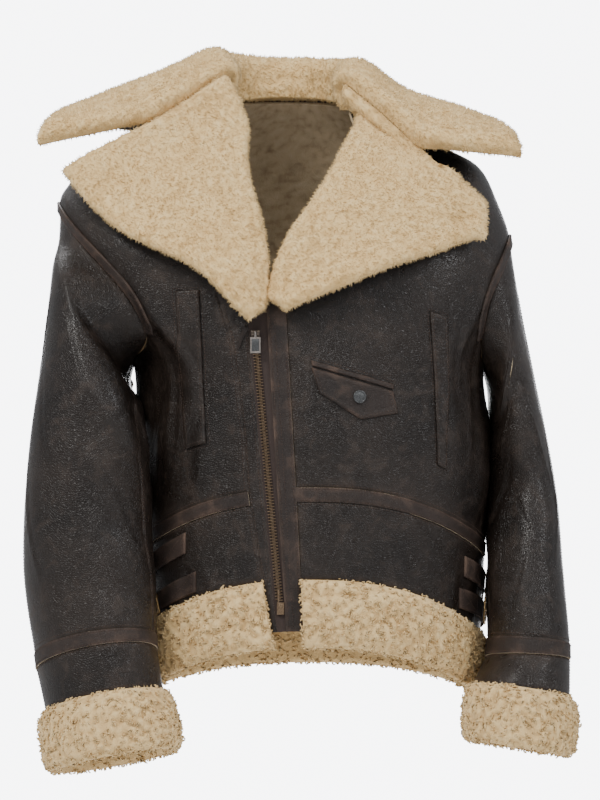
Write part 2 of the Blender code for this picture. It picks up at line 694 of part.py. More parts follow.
# ---------------------------------------------------------------- pockets
def pockets(body):
    laid("welt_right", between(((-132, -221), (-105, -220), (-121, -401), (-97, -394)), 2, 8), 2.2,
         "trim_leather", body, WELT_LIFT[-1])
    laid("welt_left", between(((157, -244), (176, -250), (166, -419), (175, -424)), 2, 8), 2.2,
         "trim_leather", body, WELT_LIFT[1])
    laid("pocket_jet", between(((22, -300), (115, -327), (22.5, -306), (115, -333)), 6, 1), 2.0,
         "trim_leather", body)
    top = [Vector((22, -308)).lerp(Vector((114.5, -335)), j / 8) for j in range(9)]
    low = [Vector((31, -337)).lerp(Vector((78, -367)), j / 4) for j in range(5)]
    low += [Vector((78, -367)).lerp(Vector((120, -360)), j / 4) for j in range(1, 5)]
    grid = [[place_on_front(*[round(v, 4) for v in a.lerp(b, i / 4)]) for a, b in zip(top, low)]
            for i in range(5)]
    flap_thickness = 3.4
    laid("pocket_flap", grid, flap_thickness, "trim_leather", body)
    point, normal = body_frame(*place_on_front(76, -341.5))
    button = bmesh.new()
    bmesh.ops.create_cone(button, cap_ends=True, segments=20, radius1=7.35, radius2=5.6, depth=2.6)
    turn = normal.to_track_quat("Z", "Y").to_matrix().to_4x4()
    seat = point + normal * (LAY_GAP + flap_thickness + 0.4 + 1.3)
    bmesh.ops.transform(button, matrix=Matrix.Translation(seat) @ turn, verts=button.verts)
    finish("pocket_snap", button, "dark_nickel", body)


# ---------------------------------------------------------------- zip
SLIDER_Z, SLIDER_LENGTH, SLIDER_WIDTH, SLIDER_DEEP = -277.0, 26.0, 11.0, 6.0
TAB_WIDTH, TAB_LENGTH, TAB_THICK = 12.0, 23.0, 2.0
PIVOT_RADIUS, LUG_WIDE = 1.3, 2.4
PIVOT_Z = SLIDER_Z + 8.0
PIVOT_STAND = 3.0


def block(mesh, centre, size, bevel=0.0):
    made = bmesh.ops.create_cube(mesh, size=1)
    bmesh.ops.transform(mesh, matrix=Matrix.Translation(centre) @ Matrix.Diagonal((*size, 1)),
                        verts=made["verts"])
    if bevel:
        edges = list({edge for vert in made["verts"] for edge in vert.link_edges})
        bmesh.ops.bevel(mesh, geom=edges, offset=bevel, segments=1, affect="EDGES")


def outline_solid(name, outlines, y_front, thickness, finish_name, carrier, origin=None):
    """A plate in the x, z plane: its outer outline, then the outline of its hole if it has one."""
    mesh = bmesh.new()
    loops = []
    for outline in outlines:
        loops.append([[mesh.verts.new((x, y, z)) for x, z in outline]
                      for y in (y_front, y_front + thickness)])
    for front, back in loops:
        for i in range(len(front)):
            k = (i + 1) % len(front)
            mesh.faces.new((front[i], front[k], back[k], back[i]))
    for level in (0, 1):
        if len(loops) == 1:
            mesh.faces.new(loops[0][level])
        else:
            outside, inside = loops[0][level], loops[1][level]
            for i in range(len(outside)):
                k = (i + 1) % len(outside)
                mesh.faces.new((outside[i], outside[k], inside[k], inside[i]))
    return finish(name, mesh, finish_name, carrier, origin)


def zip_parts(body, tab_carrier):
    chain = []
    for step in range(15):
        z = -292 - (572 - 292) * step / 14
        chain.append([place_on_front(round(zip_x(z) + x, 4), z) for x in (-3, 3)])
    chain_lift, chain_thick = -TAPE_RECESS + 0.35, 2.0
    laid("zip_chain", chain, chain_thick, "brass", body, chain_lift)
    laid("zip_box", between(((-17, -574), (-9.5, -574), (-16, -588), (-8.5, -588)), 1, 2), 3.4, "brass",
         body, -TAPE_RECESS + 0.35)
    thong = between(((-54, -262), (-49.5, -264.5), (-64, -286), (-59, -288.5)), 1, 4)
    laid("zip_thong", thong, 1.6, "trim_leather", body, 0.6)

    slider_x = zip_x(SLIDER_Z)
    spots = [(slider_x + dx, SLIDER_Z + dz) for dx in (-5, 5) for dz in (-13, 0, 13)]
    front_y = min(front_depth(round(x, 3), round(z, 3)) for x, z in spots) + TAPE_RECESS
    slider_y = front_y - 0.4 - SLIDER_DEEP / 2
    face_y = slider_y - SLIDER_DEEP / 2
    pivot = Vector((slider_x, face_y - PIVOT_STAND, PIVOT_Z))
    half_body = SLIDER_WIDTH / 2
    outline = [(slider_x - half_body, 13), (slider_x + half_body, 13), (slider_x + half_body, 0),
               (slider_x + 3.8, -13), (slider_x - 3.8, -13), (slider_x - half_body, 0)]
    outline = [(x, SLIDER_Z + z) for x, z in outline]
    outline_solid("zip_slider", [outline], face_y, SLIDER_DEEP, "brass", body)
    lug_gap = 3.4
    for side, hand in ((-1, "right"), (1, "left")):
        lug = bmesh.new()
        centre = (slider_x + side * (lug_gap / 2 + LUG_WIDE / 2), face_y - 2.6, PIVOT_Z)
        block(lug, centre, (LUG_WIDE, 4.6, 6), 0.5)
        finish("zip_lug_" + hand, lug, "brass", body)
    half_tab = TAB_WIDTH / 2
    neck = lug_gap / 2 - SEAM_GAP
    top = PIVOT_Z + 1.4
    shoulder = PIVOT_Z - 4.2
    foot = PIVOT_Z - TAB_LENGTH
    half = [(neck, top), (neck, shoulder + 0.7), (half_tab, shoulder - 1), (half_tab, foot + 1.5),
            (half_tab - 1.5, foot)]
    outer = half + [(-x, z) for x, z in half[::-1]]
    outline_solid("zip_pull_tab", [[(slider_x + x, z) for x, z in outer]],
                  pivot.y - TAB_THICK / 2, TAB_THICK, "dark_nickel", tab_carrier, pivot)
    return pivot


# ---------------------------------------------------------------- side adjusters
# side, start angle, start z, end angle, end z, buckle share along the strap
STRAPS = (
    ("right_upper", -1, 43, -508, 84, -556, 0.55),
    ("right_lower", -1, 38, -552, 80, -600, 0.55),
    ("left_upper", 1, 60, -536, 104, -572, 0.62),
    ("left_lower", 1, 57, -572, 100, -600, 0.62),
)
STRAP_WIDTH, STRAP_THICK, BUCKLE_THICK = 24.0, 2.4, 2.6


def strap_place(side, start, start_z, end, end_z, along, across):
    angle = start + (end - start) * along
    z = start_z + (end_z - start_z) * along + across
    return row_at_height(side * angle, z), side * angle


def straps(body):
    for name, side, start, start_z, end, end_z, share in STRAPS:
        steps = 10
        route = (side, start, start_z, end, end_z)
        places = []
        for step in range(steps + 1):
            along = step / steps
            half = STRAP_WIDTH / 2 * (0.8 if step == steps else 1.0)
            places.append([strap_place(*route, along, offset) for offset in (half, 0, -half)])
        laid("strap_" + name, places, STRAP_THICK, "trim_leather", body)
        clear = LAY_GAP + STRAP_THICK + 0.4
        place = strap_place(*route, share, 0)
        point, normal = body_frame(*place)
        ahead = body_point(*strap_place(*route, share + 0.05, 0)) - point
        buckle(name, point + normal * (clear + BUCKLE_THICK / 2 + 0.2), normal, ahead.normalized(), body)
        keeper = []
        for along in (share + 0.2, share + 0.3):
            keeper.append([strap_place(*route, along, offset) for offset in (14, 5, -5, -14)])
        laid("keeper_" + name, keeper, 1.8, "trim_leather", body, clear)


def buckle(name, centre, normal, ahead, body):
    """Flat frame round an opening, turned to lie on the strap."""
    wide, long, bar, thick = 31.0, 21.0, 3.0, BUCKLE_THICK
    mesh = bmesh.new()
    half_x, half_y = long / 2, wide / 2
    ring = []
    for radius_x, radius_y in ((half_x, half_y), (half_x - bar, half_y - bar)):
        corner = 3.0 if radius_x == half_x else 1.2
        outline = []
        for sx, sy in ((1, 1), (-1, 1), (-1, -1), (1, -1)):
            ends = [(sx * radius_x, sy * (radius_y - corner)), (sx * (radius_x - corner), sy * radius_y)]
            outline += ends if sx * sy > 0 else ends[::-1]
        ring.append([[mesh.verts.new((x, y, z)) for x, y in outline] for z in (-thick / 2, thick / 2)])
    for outline in ring:
        low, high = outline
        for i in range(8):
            k = (i + 1) % 8
            mesh.faces.new((low[i], low[k], high[k], high[i]))
    for level in (0, 1):
        for i in range(8):
            k = (i + 1) % 8
            mesh.faces.new((ring[0][level][i], ring[0][level][k], ring[1][level][k], ring[1][level][i]))
    across = normal.cross(ahead).normalized()
    along = across.cross(normal).normalized()
    turn = Matrix((along, across, normal)).transposed().to_4x4()
    bmesh.ops.transform(mesh, matrix=Matrix.Translation(centre) @ turn, verts=mesh.verts)
    finish("buckle_" + name, mesh, "brass", body)


# ---------------------------------------------------------------- the jacket
def main():
    for old in list(bpy.data.objects):
        bpy.data.objects.remove(old, do_unlink=True)
    body = bpy.data.objects.new("jacket", None)
    bpy.context.scene.collection.objects.link(body)
    tab_carrier = bpy.data.objects.new("pull_tab_carrier", None)
    bpy.context.scene.collection.objects.link(tab_carrier)
    tab_carrier.parent = body
    body_sections(body)
    for side in (-1, 1):
        armhole_band(side, body)
        sleeve(side, body)
        lapel(side, body)
    collar(body)
    pockets(body)
    zip_parts(body, tab_carrier)
    straps(body)


main()
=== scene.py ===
import math

import bmesh
import bpy
import numpy as np
from mathutils import Matrix, Vector, noise


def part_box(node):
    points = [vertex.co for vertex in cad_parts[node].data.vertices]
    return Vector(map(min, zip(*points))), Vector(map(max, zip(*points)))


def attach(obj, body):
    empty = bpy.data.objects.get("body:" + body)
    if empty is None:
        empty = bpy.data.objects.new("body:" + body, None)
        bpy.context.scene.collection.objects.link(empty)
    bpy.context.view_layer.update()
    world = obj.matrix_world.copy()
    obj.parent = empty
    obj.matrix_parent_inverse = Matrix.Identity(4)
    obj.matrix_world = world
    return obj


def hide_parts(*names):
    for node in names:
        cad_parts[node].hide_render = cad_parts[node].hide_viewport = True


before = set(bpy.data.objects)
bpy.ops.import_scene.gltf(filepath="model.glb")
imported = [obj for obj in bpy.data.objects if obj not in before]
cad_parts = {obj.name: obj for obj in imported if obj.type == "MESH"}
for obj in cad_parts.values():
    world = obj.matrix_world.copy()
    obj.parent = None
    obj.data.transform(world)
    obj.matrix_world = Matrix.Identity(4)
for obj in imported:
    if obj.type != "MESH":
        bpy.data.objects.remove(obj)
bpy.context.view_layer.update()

MM = 0.001
JACKET, PULL_TAB = "jacket", "pull_tab"
SIDES = ((-1, "right"), (1, "left"))

WALL = 6.0
LINING_FREE = 0.9
TRIM_PROUD = 1.2
LAY_GAP = 0.5
WELT_LIFT = {-1: 1.8, 1: 1.0}
SQUARENESS = 2.3
DROP_POWER = 1.5

# ---------------------------------------------------------------- body rings
# centre x, half width, front depth, back depth, front z, side z, back z, sideways tilt
BODY_RINGS = (
    (-8, 80, 66, 62, -40, 2, 8, 0),
    (-8, 134, 97, 92, -88, -26, -24, 0),
    (-8, 190, 123, 118, -134, -52, -64, 0),
    (-12, 230, 140, 133, -172, -75, -102, 2),
    (-11, 249, 148, 141, -200, -101, -130, -9),
    (-8, 263, 152, 146, -226, -145, -158, -20),
    (2, 245, 157, 149, -266, -222, -215, -12),
    (20, 202, 160, 150, -320, -300, -292, -6),
    (24, 203, 162, 148, -385, -405, -395, 0),
    (22, 199, 160, 145, -444, -512, -500, 0),
    (22, 199, 160, 145, -460, -528, -516, 0),
    (21, 198, 158, 145, -549, -620, -600, 0),
    (20, 196, 157, 146, -626, -690, -660, 0),
)
# rows of the body
NECK, TIP, UNDERARM, BAND_TOP, BAND_BOTTOM, HEM_TOP, HEM = 0, 5, 7, 9, 10, 11, 12

# angle, z, half angle, half height, angle drift per mm, height (all on the body)
BODY_FOLDS = (
    (-38, -268, 4.5, 80, 0.01, 5.0),
    (-24, -400, 6.0, 45, 0.05, -3.5),
    (47, -330, 6.0, 70, -0.04, 4.0),
    (33, -415, 8.0, 30, -0.16, -3.5),
    (72, -440, 7.0, 50, 0.05, 4.5),
    (-70, -440, 7.0, 55, -0.05, 4.5),
    (140, -360, 8.0, 95, 0.04, 5.0),
    (214, -330, 7.0, 105, -0.05, 4.5),
    (180, -430, 12.0, 45, 0.10, -4.0),
    (163, -250, 9.0, 60, -0.05, -3.0),
)

# ---------------------------------------------------------------- lines on the front: z, x
ROLL_RIGHT = ((0, -74), (-25, -57), (-49, -58), (-76, -57), (-97, -53), (-118, -49), (-139, -42))
SIDE_FRONT_LINE = ROLL_RIGHT + (
    (-165, -52), (-200, -74), (-226, -84), (-275, -69), (-322, -62), (-387, -55), (-443, -51),
    (-513, -40), (-551, -33), (-590, -27), (-632, -19), (-700, -10))
STRIP_ZIP_LINE = ((-150, -35), (-190, -28), (-213, -30), (-251, -50), (-302, -46), (-575, -21),
                  (-600, -18), (-632, -12))
PLACKET_ZIP_LINE = ((-225, -30), (-322, -24), (-520, -12), (-632, -5))
PLACKET_OUTER_LINE = (
    (0, 66), (-12, 68), (-25, 73), (-41, 71), (-61, 61), (-80, 53), (-106, 40), (-127, 25), (-141, 14),
    (-163, 2), (-190, -7), (-238, -7), (-322, -2.3), (-520, 8.6), (-632, 14.5))
ZIP_SLOPE = -25.0 / 273.0
ZIP_TOP_X, ZIP_TOP_Z = -39.0, -302.0

# ---------------------------------------------------------------- armholes, by side
ARM_FRONT = {-1: 45.0, 1: 27.0}
ARM_BACK = {-1: 36.0, 1: 36.0}
ARM_STEPS = 10
ARM_BAND_WIDTH = 14.0
ARM_BAND_REACH = 118.0
ARM_BAND_THICK, ARM_BAND_LIFT = 1.9, 0.8

# ---------------------------------------------------------------- sleeve sections, by side
# outer x, y, z; inner x, y, z; half depth; rise of the front
SLEEVE_RINGS = {
    -1: (
        (-271, -4, -178, -190, -56, -322, 96, 0),
        (-273, -24, -232, -178, -106, -344, 82, 4),
        (-279, -52, -300, -172, -146, -396, 70, 8),
        (-292, -66, -412, -171, -142, -450, 70, 12),
        (-302, -86, -540, -160, -150, -545, 66, 16),
        (-290, -106, -640, -157, -158, -607, 60, 20),
        (-288, -109, -657, -156, -160, -622, 59, 20),
        (-277, -117, -706, -148, -166, -672, 58, 16),
        (-268, -126, -770, -134, -174, -738, 62, 12),
    ),
    1: (
        (262, 2, -212, 228, -2, -334, 84, 0),
        (271, 4, -262, 229, -4, -370, 84, 0),
        (283, 4, -325, 229, -6, -398, 82, 0),
        (303, -2, -440, 228, -14, -458, 78, 3),
        (310, -45, -548, 226, -64, -542, 70, 8),
        (315, -72, -628, 228, -98, -616, 63, 9),
        (315, -76, -645, 226, -103, -636, 62, 9),
        (314, -92, -688, 212, -126, -668, 60, 8),
        (311, -106, -752, 206, -140, -732, 63, 6),
    ),
}
# rows of the sleeves
FOREARM_TOP, FOREARM_BOTTOM, CUFF_TOP, CUFF_END = 6, 7, 8, 9
OUTER_SEAM = 180.0 / ARM_STEPS

# ring row, angle, half rows, half angle, drift of angle per row, height
SLEEVE_FOLDS = {
    -1: ((3.3, 150, 0.22, 42, 20, -3.2), (3.9, 120, 0.22, 50, -25, 3.5), (4.5, 160, 0.22, 45, 20, -3.0),
         (4.6, 60, 0.4, 22, 12, 3.0), (5.3, 100, 0.25, 45, 30, -2.5), (3.9, 250, 0.3, 40, 25, 4.0),
         (4.7, 290, 0.25, 40, -20, -3.5)),
    1: ((2.6, 120, 0.25, 38, 30, -3.5), (3.3, 95, 0.25, 42, -30, 4.0), (3.9, 120, 0.22, 40, 25, -3.8),
        (4.4, 60, 0.35, 25, 12, 3.5), (3.6, 245, 0.3, 40, 20, 4.0), (4.8, 250, 0.25, 45, -20, -3.5)),
}

# ---------------------------------------------------------------- turned-back wool
# row, outer offset, inner offset
HEM_PROFILE = ((11.0, 2, -6), (11.07, 7, -7), (11.25, 10, -8), (11.5, 11, -9), (11.75, 10, -9),
               (11.93, 7, -8), (12.0, 2, -5))
CUFF_PROFILE = ((8.0, 2, -6), (8.08, 7, -7), (8.3, 10, -8), (8.65, 10, -9), (8.9, 8, -8), (9.0, 2, -5))

# gorge seam shared by collar and lapel, leather side: x, y, z
GORGE = {
    -1: ((-78, -46, 28), (-123, -64, 0), (-160, -73, -24)),
    1: ((64, -44, 20), (99, -62, -10), (146, -75, -54)),
}
GORGE_DOWN = np.array((0, -0.692, -0.722))
COLLAR_TIP = {-1: (-286, -62, -50), 1: (258, -60, -64)}
# neck angle; crest x, y, z; middle of the fall x, y, z; edge x, y, z; wool at the edge
COLLAR_STATIONS = (
    (-74, -86, -10, 45, -152, -26, 14, -272, -20, -36, 26),
    (-100, -85, 16, 45, -144, 26, 17, -242, 32, -24, 24),
    (-130, -68, 46, 45, -112, 72, 12, -178, 92, -26, 21),
    (-156, -40, 64, 43, -62, 95, 5, -96, 122, -40, 19),
    (180, -8, 70, 42, -8, 101, 2, -8, 128, -46, 19),
    (156, 24, 64, 41, 46, 95, 1, 80, 120, -46, 19),
    (130, 52, 46, 38, 94, 72, 3, 154, 92, -40, 20),
    (100, 69, 16, 35, 122, 26, 1, 220, 32, -38, 24),
    (74, 69, -10, 33, 132, -26, -9, 247, -20, -49, 25),
)
COLLAR_FRONT_ANGLE = 66.0
COLLAR_WOOL = 16.0
COLLAR_TIP_WOOL = 24.0
COLLAR_FOOT = 1.3
CREST_WIDTH = 8.0

# lapel rows: roll x, z; edge x, z, y
LAPEL_ROWS = {
    -1: ((-66, 6, -249, -96, -98), (-52, -30, -222, -127, -118), (-52, -72, -190, -154, -136),
         (-46, -108, -154, -172, -152), (-38, -137, -122, -187, -164), (-33, -168, -98, -202, -172),
         (-31, -192, -74, -226, -175), (-33, -215, -59, -243, -173), (-38, -238, -49, -252, -172)),
    1: ((73, -6, 217, -128, -92), (72, -30, 217, -158, -106), (58, -60, 196, -163, -122),
        (40, -96, 168, -175, -140), (20, -127, 140, -184, -152), (0, -157, 97, -199, -166),
        (-13, -185, 52, -218, -174), (-19, -208, 19, -231, -176), (-24, -229, -7, -243, -174)),
}
LAPEL_TIP = {-1: (-256, -88, -86), 1: (217, -84, -124)}
LAPEL_WOOL = 15.0
FALL_COLUMNS = 8
STAND_COLUMNS = 3
GORGE_COLUMNS = 4
LAPEL_GAP = 3.2
LAPEL_STAND_OFF = 14.0


# ---------------------------------------------------------------- surfaces
def cubic(a, b, c, d, part):
    """Point between b and c on the smooth curve through a, b, c and d."""
    curve = 2 * b + (c - a) * part + (2 * a - 5 * b + 4 * c - d) * part ** 2
    return 0.5 * (curve + (3 * b - a - 3 * c + d) * part ** 3)


def with_end_rows(table):
    """The table with a row carried on past each end."""
    return np.concatenate([2 * table[:1] - table[1:2], table, 2 * table[-1:] - table[-2:-1]])


def spline(table, at, straight=None):
    """Smooth curve through equally spaced rows, read at fractional rows; one span may be straight."""
    table = np.asarray(table, float)
    at = np.asarray(at, float)
    low = np.clip(np.floor(at).astype(int), 0, len(table) - 2)
    part = (at - low)[..., None]
    padded = with_end_rows(table)
    a, b, c, d = [padded[low + k] for k in range(4)]
    curve = cubic(a, b, c, d, part)
    return np.where((low == straight)[..., None], b + (c - b) * part, curve) if straight else curve


def unit(v):
    return v / np.maximum(np.linalg.norm(v, axis=-1, keepdims=True), 1e-9)


def sine(turn):
    return np.sin(np.radians(turn))


def cosine(turn):
    return np.cos(np.radians(turn))


def curved(value, power):
    return np.sign(value) * np.abs(value) ** power


def body_base(row, angle):
    row, angle = np.broadcast_arrays(np.asarray(row, float), np.asarray(angle, float))
    ring = spline(BODY_RINGS, row, BAND_TOP)
    across, along = sine(angle), cosine(angle)
    front = along > 0
    depth = np.where(front, ring[..., 2], ring[..., 3])
    end_z = np.where(front, ring[..., 4], ring[..., 6])
    side_z = ring[..., 5]
    x = ring[..., 0] + ring[..., 1] * curved(across, 2 / SQUARENESS)
    y = -depth * curved(along, 2 / SQUARENESS)
    z = side_z + ring[..., 7] * across + (end_z - side_z) * np.abs(along) ** DROP_POWER
    return np.stack([x, y, z], -1)


def folds(table, turn, height):
    total = np.zeros(np.broadcast(turn, height).shape)
    for at_turn, at_height, half_turn, half_height, drift, size in table:
        along = height - at_height
        off = (turn - at_turn - drift * along + 180) % 360 - 180
        total = total + size * np.exp(-(off / half_turn) ** 2 - (along / half_height) ** 2)
    return total


def creases(table, turn, height):
    """Sharper folds that fade toward both ends: a ridge with a valley beside it."""
    total = np.zeros(np.broadcast(turn, height).shape)
    for at_turn, at_height, half_turn, half_height, drift, size in table:
        along = height - at_height
        bend = 0.25 * half_turn * np.sin(along / half_height * 2.1 + at_turn)
        off = ((turn - at_turn - drift * along - bend + 180) % 360 - 180) / half_turn
        shape = np.exp(-off ** 2) - 0.7 * np.exp(-((off - 1.5) / 0.8) ** 2)
        total = total + size * shape * np.exp(-(np.abs(along) / half_height) ** 2.6)
    return total


def body_normal(surface, row, angle):
    step = 0.02
    down = surface(row + step, angle) - surface(row - step, angle)
    around = surface(row, angle + 1) - surface(row, angle - 1)
    return unit(np.cross(down, around))


def body_form(row, angle):
    """The solids' own surface."""
    base = body_base(row, angle)
    return base + body_normal(body_base, row, angle) * folds(BODY_FOLDS, angle, base[..., 2])[..., None]


def body_point(row, angle):
    """The solids' surface with the leather's creases."""
    row, angle = np.broadcast_arrays(np.asarray(row, float), np.asarray(angle, float))
    base = body_form(row, angle)
    return base + body_normal(body_form, row, angle) * creases(BODY_CREASES, angle, base[..., 2])[..., None]


def body_frame(row, angle):
    return body_point(row, angle), body_normal(body_point, row, angle)


def line_x(line, z):
    points = np.asarray(line, float)[::-1]
    return np.interp(z, points[:, 0], points[:, 1])


def angle_on_line(row, line):
    """Angles at which body rings cross a line on the front; the line may be a list of x."""
    row = np.asarray(row, float)
    low, high = np.full(row.shape, -88.0), np.full(row.shape, 88.0)
    for _ in range(26):
        middle = 0.5 * (low + high)
        point = body_base(row, middle)
        target = line if isinstance(line, np.ndarray) else line_x(line, point[..., 2])
        short = point[..., 0] < target
        low, high = np.where(short, middle, low), np.where(short, high, middle)
    return 0.5 * (low + high)


def place_on_front(x, z):
    x, z = np.broadcast_arrays(np.asarray(x, float), np.asarray(z, float))
    low, high = np.zeros(x.shape), np.full(x.shape, float(HEM))
    for _ in range(22):
        middle = 0.5 * (low + high)
        above = body_base(middle, angle_on_line(middle, x))[..., 2] > z
        low, high = np.where(above, middle, low), np.where(above, high, middle)
    row = 0.5 * (low + high)
    return row, angle_on_line(row, x)


def row_at_height(angle, z):
    angle, z = np.broadcast_arrays(np.asarray(angle, float), np.asarray(z, float))
    low, high = np.zeros(z.shape), np.full(z.shape, float(HEM))
    for _ in range(26):
        middle = 0.5 * (low + high)
        above = body_base(middle, angle)[..., 2] > z
        low, high = np.where(above, middle, low), np.where(above, high, middle)
    return 0.5 * (low + high)


def zip_x(z):
    return ZIP_TOP_X + (z - ZIP_TOP_Z) * ZIP_SLOPE


def armhole_place(side, turn):
    across = sine(turn)
    reach = np.where(across > 0, ARM_FRONT[side], ARM_BACK[side])
    return 6 - cosine(turn), side * (90 - reach * across)


def armhole_turn(row):
    return np.degrees(np.arccos(np.clip(6 - np.asarray(row, float), -1, 1)))


def sleeve_base(side, row, turn):
    row, turn = np.broadcast_arrays(np.asarray(row, float), np.asarray(turn, float))
    shape = row.shape
    row, turn = row.ravel(), turn.ravel()
    across, along = sine(turn)[:, None], cosine(turn)[:, None]
    sections = [body_form(*armhole_place(side, turn))]
    for ox, oy, oz, ix, iy, iz, depth, rise in SLEEVE_RINGS[side]:
        outer, inner = np.array((ox, oy, oz), float), np.array((ix, iy, iz), float)
        width = (outer - inner) / 2
        direction = unit(width)
        back = unit(np.array((0, 1, 0)) - direction * direction[1])
        point = (outer + inner) / 2 + width * along - back * depth * across
        sections.append(point + np.array((0, 0, rise)) * across)
    table = np.stack(sections)
    padded = with_end_rows(table)
    low = np.clip(np.floor(row).astype(int), 0, len(table) - 2)
    pick = np.arange(len(row))
    a, b, c, d = [padded[low + k, pick] for k in range(4)]
    part = (row - low)[:, None]
    curve = cubic(a, b, c, d, part)
    curve = np.where((low == FOREARM_TOP)[:, None], b + (c - b) * part, curve)
    return curve.reshape(shape + (3,))


def sleeve_normal(surface, side, row, turn):
    step = 0.03
    down = surface(side, row + step, turn) - surface(side, np.maximum(row - step, 0), turn)
    around = surface(side, row, turn + 1.5) - surface(side, row, turn - 1.5)
    return unit(np.cross(down, around)) * -side


def sleeve_point(side, row, turn):
    row, turn = np.broadcast_arrays(np.asarray(row, float), np.asarray(turn, float))
    base = sleeve_base(side, row, turn)
    normal = sleeve_normal(sleeve_base, side, row, turn)
    table = [(a, r, ha, hr, d, h) for r, a, hr, ha, d, h in SLEEVE_FOLDS[side]]
    height = folds(table, turn, row) + creases(SLEEVE_CREASES[side], turn, row)
    return base + normal * height[..., None]


def sleeve_frame(side, row, turn):
    return sleeve_point(side, row, turn), sleeve_normal(sleeve_point, side, row, turn)


def sleeve_turn(row, share):
    """Turn on a sleeve: share 0 is the outer seam, 1 the underarm seam, 2 the outer seam again."""
    seam = OUTER_SEAM * np.minimum(1.0, row)
    return np.where(share <= 1, seam + (180 - seam) * share, 180 + (180 + seam) * (share - 1))


# ---------------------------------------------------------------- materials
def start_material(name):
    made = bpy.data.materials.new(name)
    made.use_nodes = True
    return made, made.node_tree, made.node_tree.nodes["Principled BSDF"]


def add(tree, kind, inputs=(), **settings):
    node = tree.nodes.new("ShaderNode" + kind)
    for key, value in settings.items():
        setattr(node, key, value)
    for key, value in dict(inputs).items():
        if isinstance(value, bpy.types.NodeSocket):
            tree.links.new(value, node.inputs[key])
        else:
            node.inputs[key].default_value = value
    return node


def place_of(tree):
    return add(tree, "TexCoord").outputs["Object"]


def cloud(tree, place, scale, detail=3.0, roughness=0.5, distortion=0.0):
    inputs = {"Vector": place, "Scale": scale, "Detail": detail, "Roughness": roughness,
              "Distortion": distortion}
    return add(tree, "TexNoise", inputs).outputs["Fac"]


def spread(tree, value, low, high, to_low=0.0, to_high=1.0):
    inputs = {"Value": value, "From Min": low, "From Max": high, "To Min": to_low, "To Max": to_high}
    return add(tree, "MapRange", inputs).outputs["Result"]


def blend(tree, share, one, other):
    node = add(tree, "Mix", data_type="RGBA")
    for key, value in ((0, share), (6, one), (7, other)):
        if isinstance(value, bpy.types.NodeSocket):
            tree.links.new(value, node.inputs[key])
        else:
            node.inputs[key].default_value = value if key == 0 else (*value, 1)
    return node.outputs[2]


def calc(tree, operation, one, other):
    return add(tree, "Math", {0: one, 1: other}, operation=operation, use_clamp=True).outputs[0]


def relief(tree, shader, layers):
    """Chain of bumps: height, distance in metres, strength."""
    normal = None
    for height, distance, strength in layers:
        inputs = {"Height": height, "Distance": distance, "Strength": strength}
        if normal:
            inputs["Normal"] = normal
        normal = add(tree, "Bump", inputs).outputs["Normal"]
    tree.links.new(normal, shader.inputs["Normal"])


def leather_finish(name, deep, base, worn, rough_low, rough_high, grain_scale=430.0, wear_and_painted_shade_share=0.8):
    """Grained skin: cloudy colour, paler where the wear attribute and rubbing say."""
    made, tree, shader = start_material(name)
    place = place_of(tree)
    broad = spread(tree, cloud(tree, place, 11, 4, 0.55, 0.4), 0.35, 0.68)
    patch = cloud(tree, place, 48, 6, 0.62, 0.6)
    fine = cloud(tree, place, 210, 4, 0.6)
    wear_and_painted_shade = add(tree, "Attribute", attribute_name="wear_and_painted_shade").outputs["Fac"]
    rubbed = calc(tree, "MULTIPLY", wear_and_painted_shade, spread(tree, patch, 0.36, 0.6, 0.25, 1.0))
    rubbed = calc(tree, "MULTIPLY", rubbed, wear_and_painted_shade_share)
    colour = blend(tree, broad, deep, base)
    lifted = calc(tree, "MULTIPLY", spread(tree, patch, 0.52, 0.74), 0.42)
    colour = blend(tree, lifted, colour, worn)
    colour = blend(tree, rubbed, colour, worn)
    tree.links.new(colour, shader.inputs["Base Color"])
    tree.links.new(spread(tree, patch, 0.3, 0.72, rough_low, rough_high), shader.inputs["Roughness"])
    cells = add(tree, "TexVoronoi", {"Vector": place, "Scale": grain_scale}, feature="DISTANCE_TO_EDGE")
    pebble = spread(tree, cells.outputs["Distance"], 0.0, 0.16)
    lines = add(tree, "TexVoronoi", {"Vector": place, "Scale": 150.0, "Randomness": 1.0},
                feature="DISTANCE_TO_EDGE")
    crackle = spread(tree, lines.outputs["Distance"], 0.0, 0.07)
    relief(tree, shader, ((patch, 0.0018, 0.45), (crackle, 0.0003, 0.12), (fine, 0.0005, 0.35),
                          (pebble, 0.0004, 0.6)))
    shader.inputs["Specular IOR Level"].default_value = 0.3
    return made


def wool_finish(name, deep, base, light, clump_scale):
    """Pile with painted light and shade: dark at the roots and between the locks, pale at the tips; tip runs
    from root 0 to tip 1.
    """
    made, tree, shader = start_material(name)
    place = place_of(tree)
    tip = add(tree, "Attribute", attribute_name="tip").outputs["Fac"]
    broad = cloud(tree, place, 16, 3, 0.5)
    clump = cloud(tree, place, clump_scale, 4, 0.6, 0.5)
    fine = cloud(tree, place, 900, 3, 0.6)
    # painted shade: spots that stand lower, by the tip attribute and by the clump noise that also raises the
    # bump, get the darker colours
    height = calc(tree, "ADD", calc(tree, "MULTIPLY", tip, 0.75), spread(tree, clump, 0.3, 0.75, 0.0, 0.4))
    low = blend(tree, spread(tree, height, 0.05, 0.5), deep, base)
    colour = blend(tree, spread(tree, height, 0.5, 1.0), low, light)
    colour = blend(tree, spread(tree, broad, 0.42, 0.7, 0.0, 0.35), colour, base)
    tree.links.new(colour, shader.inputs["Base Color"])
    shader.inputs["Roughness"].default_value = 0.95
    shader.inputs["Specular IOR Level"].default_value = 0.12
    shader.inputs["Sheen Weight"].default_value = 0.2
    shader.inputs["Sheen Roughness"].default_value = 0.6
    shader.inputs["Sheen Tint"].default_value = (1.0, 0.93, 0.8, 1)
    relief(tree, shader, ((clump, 0.003, 0.5), (fine, 0.0012, 0.6)))
    return made


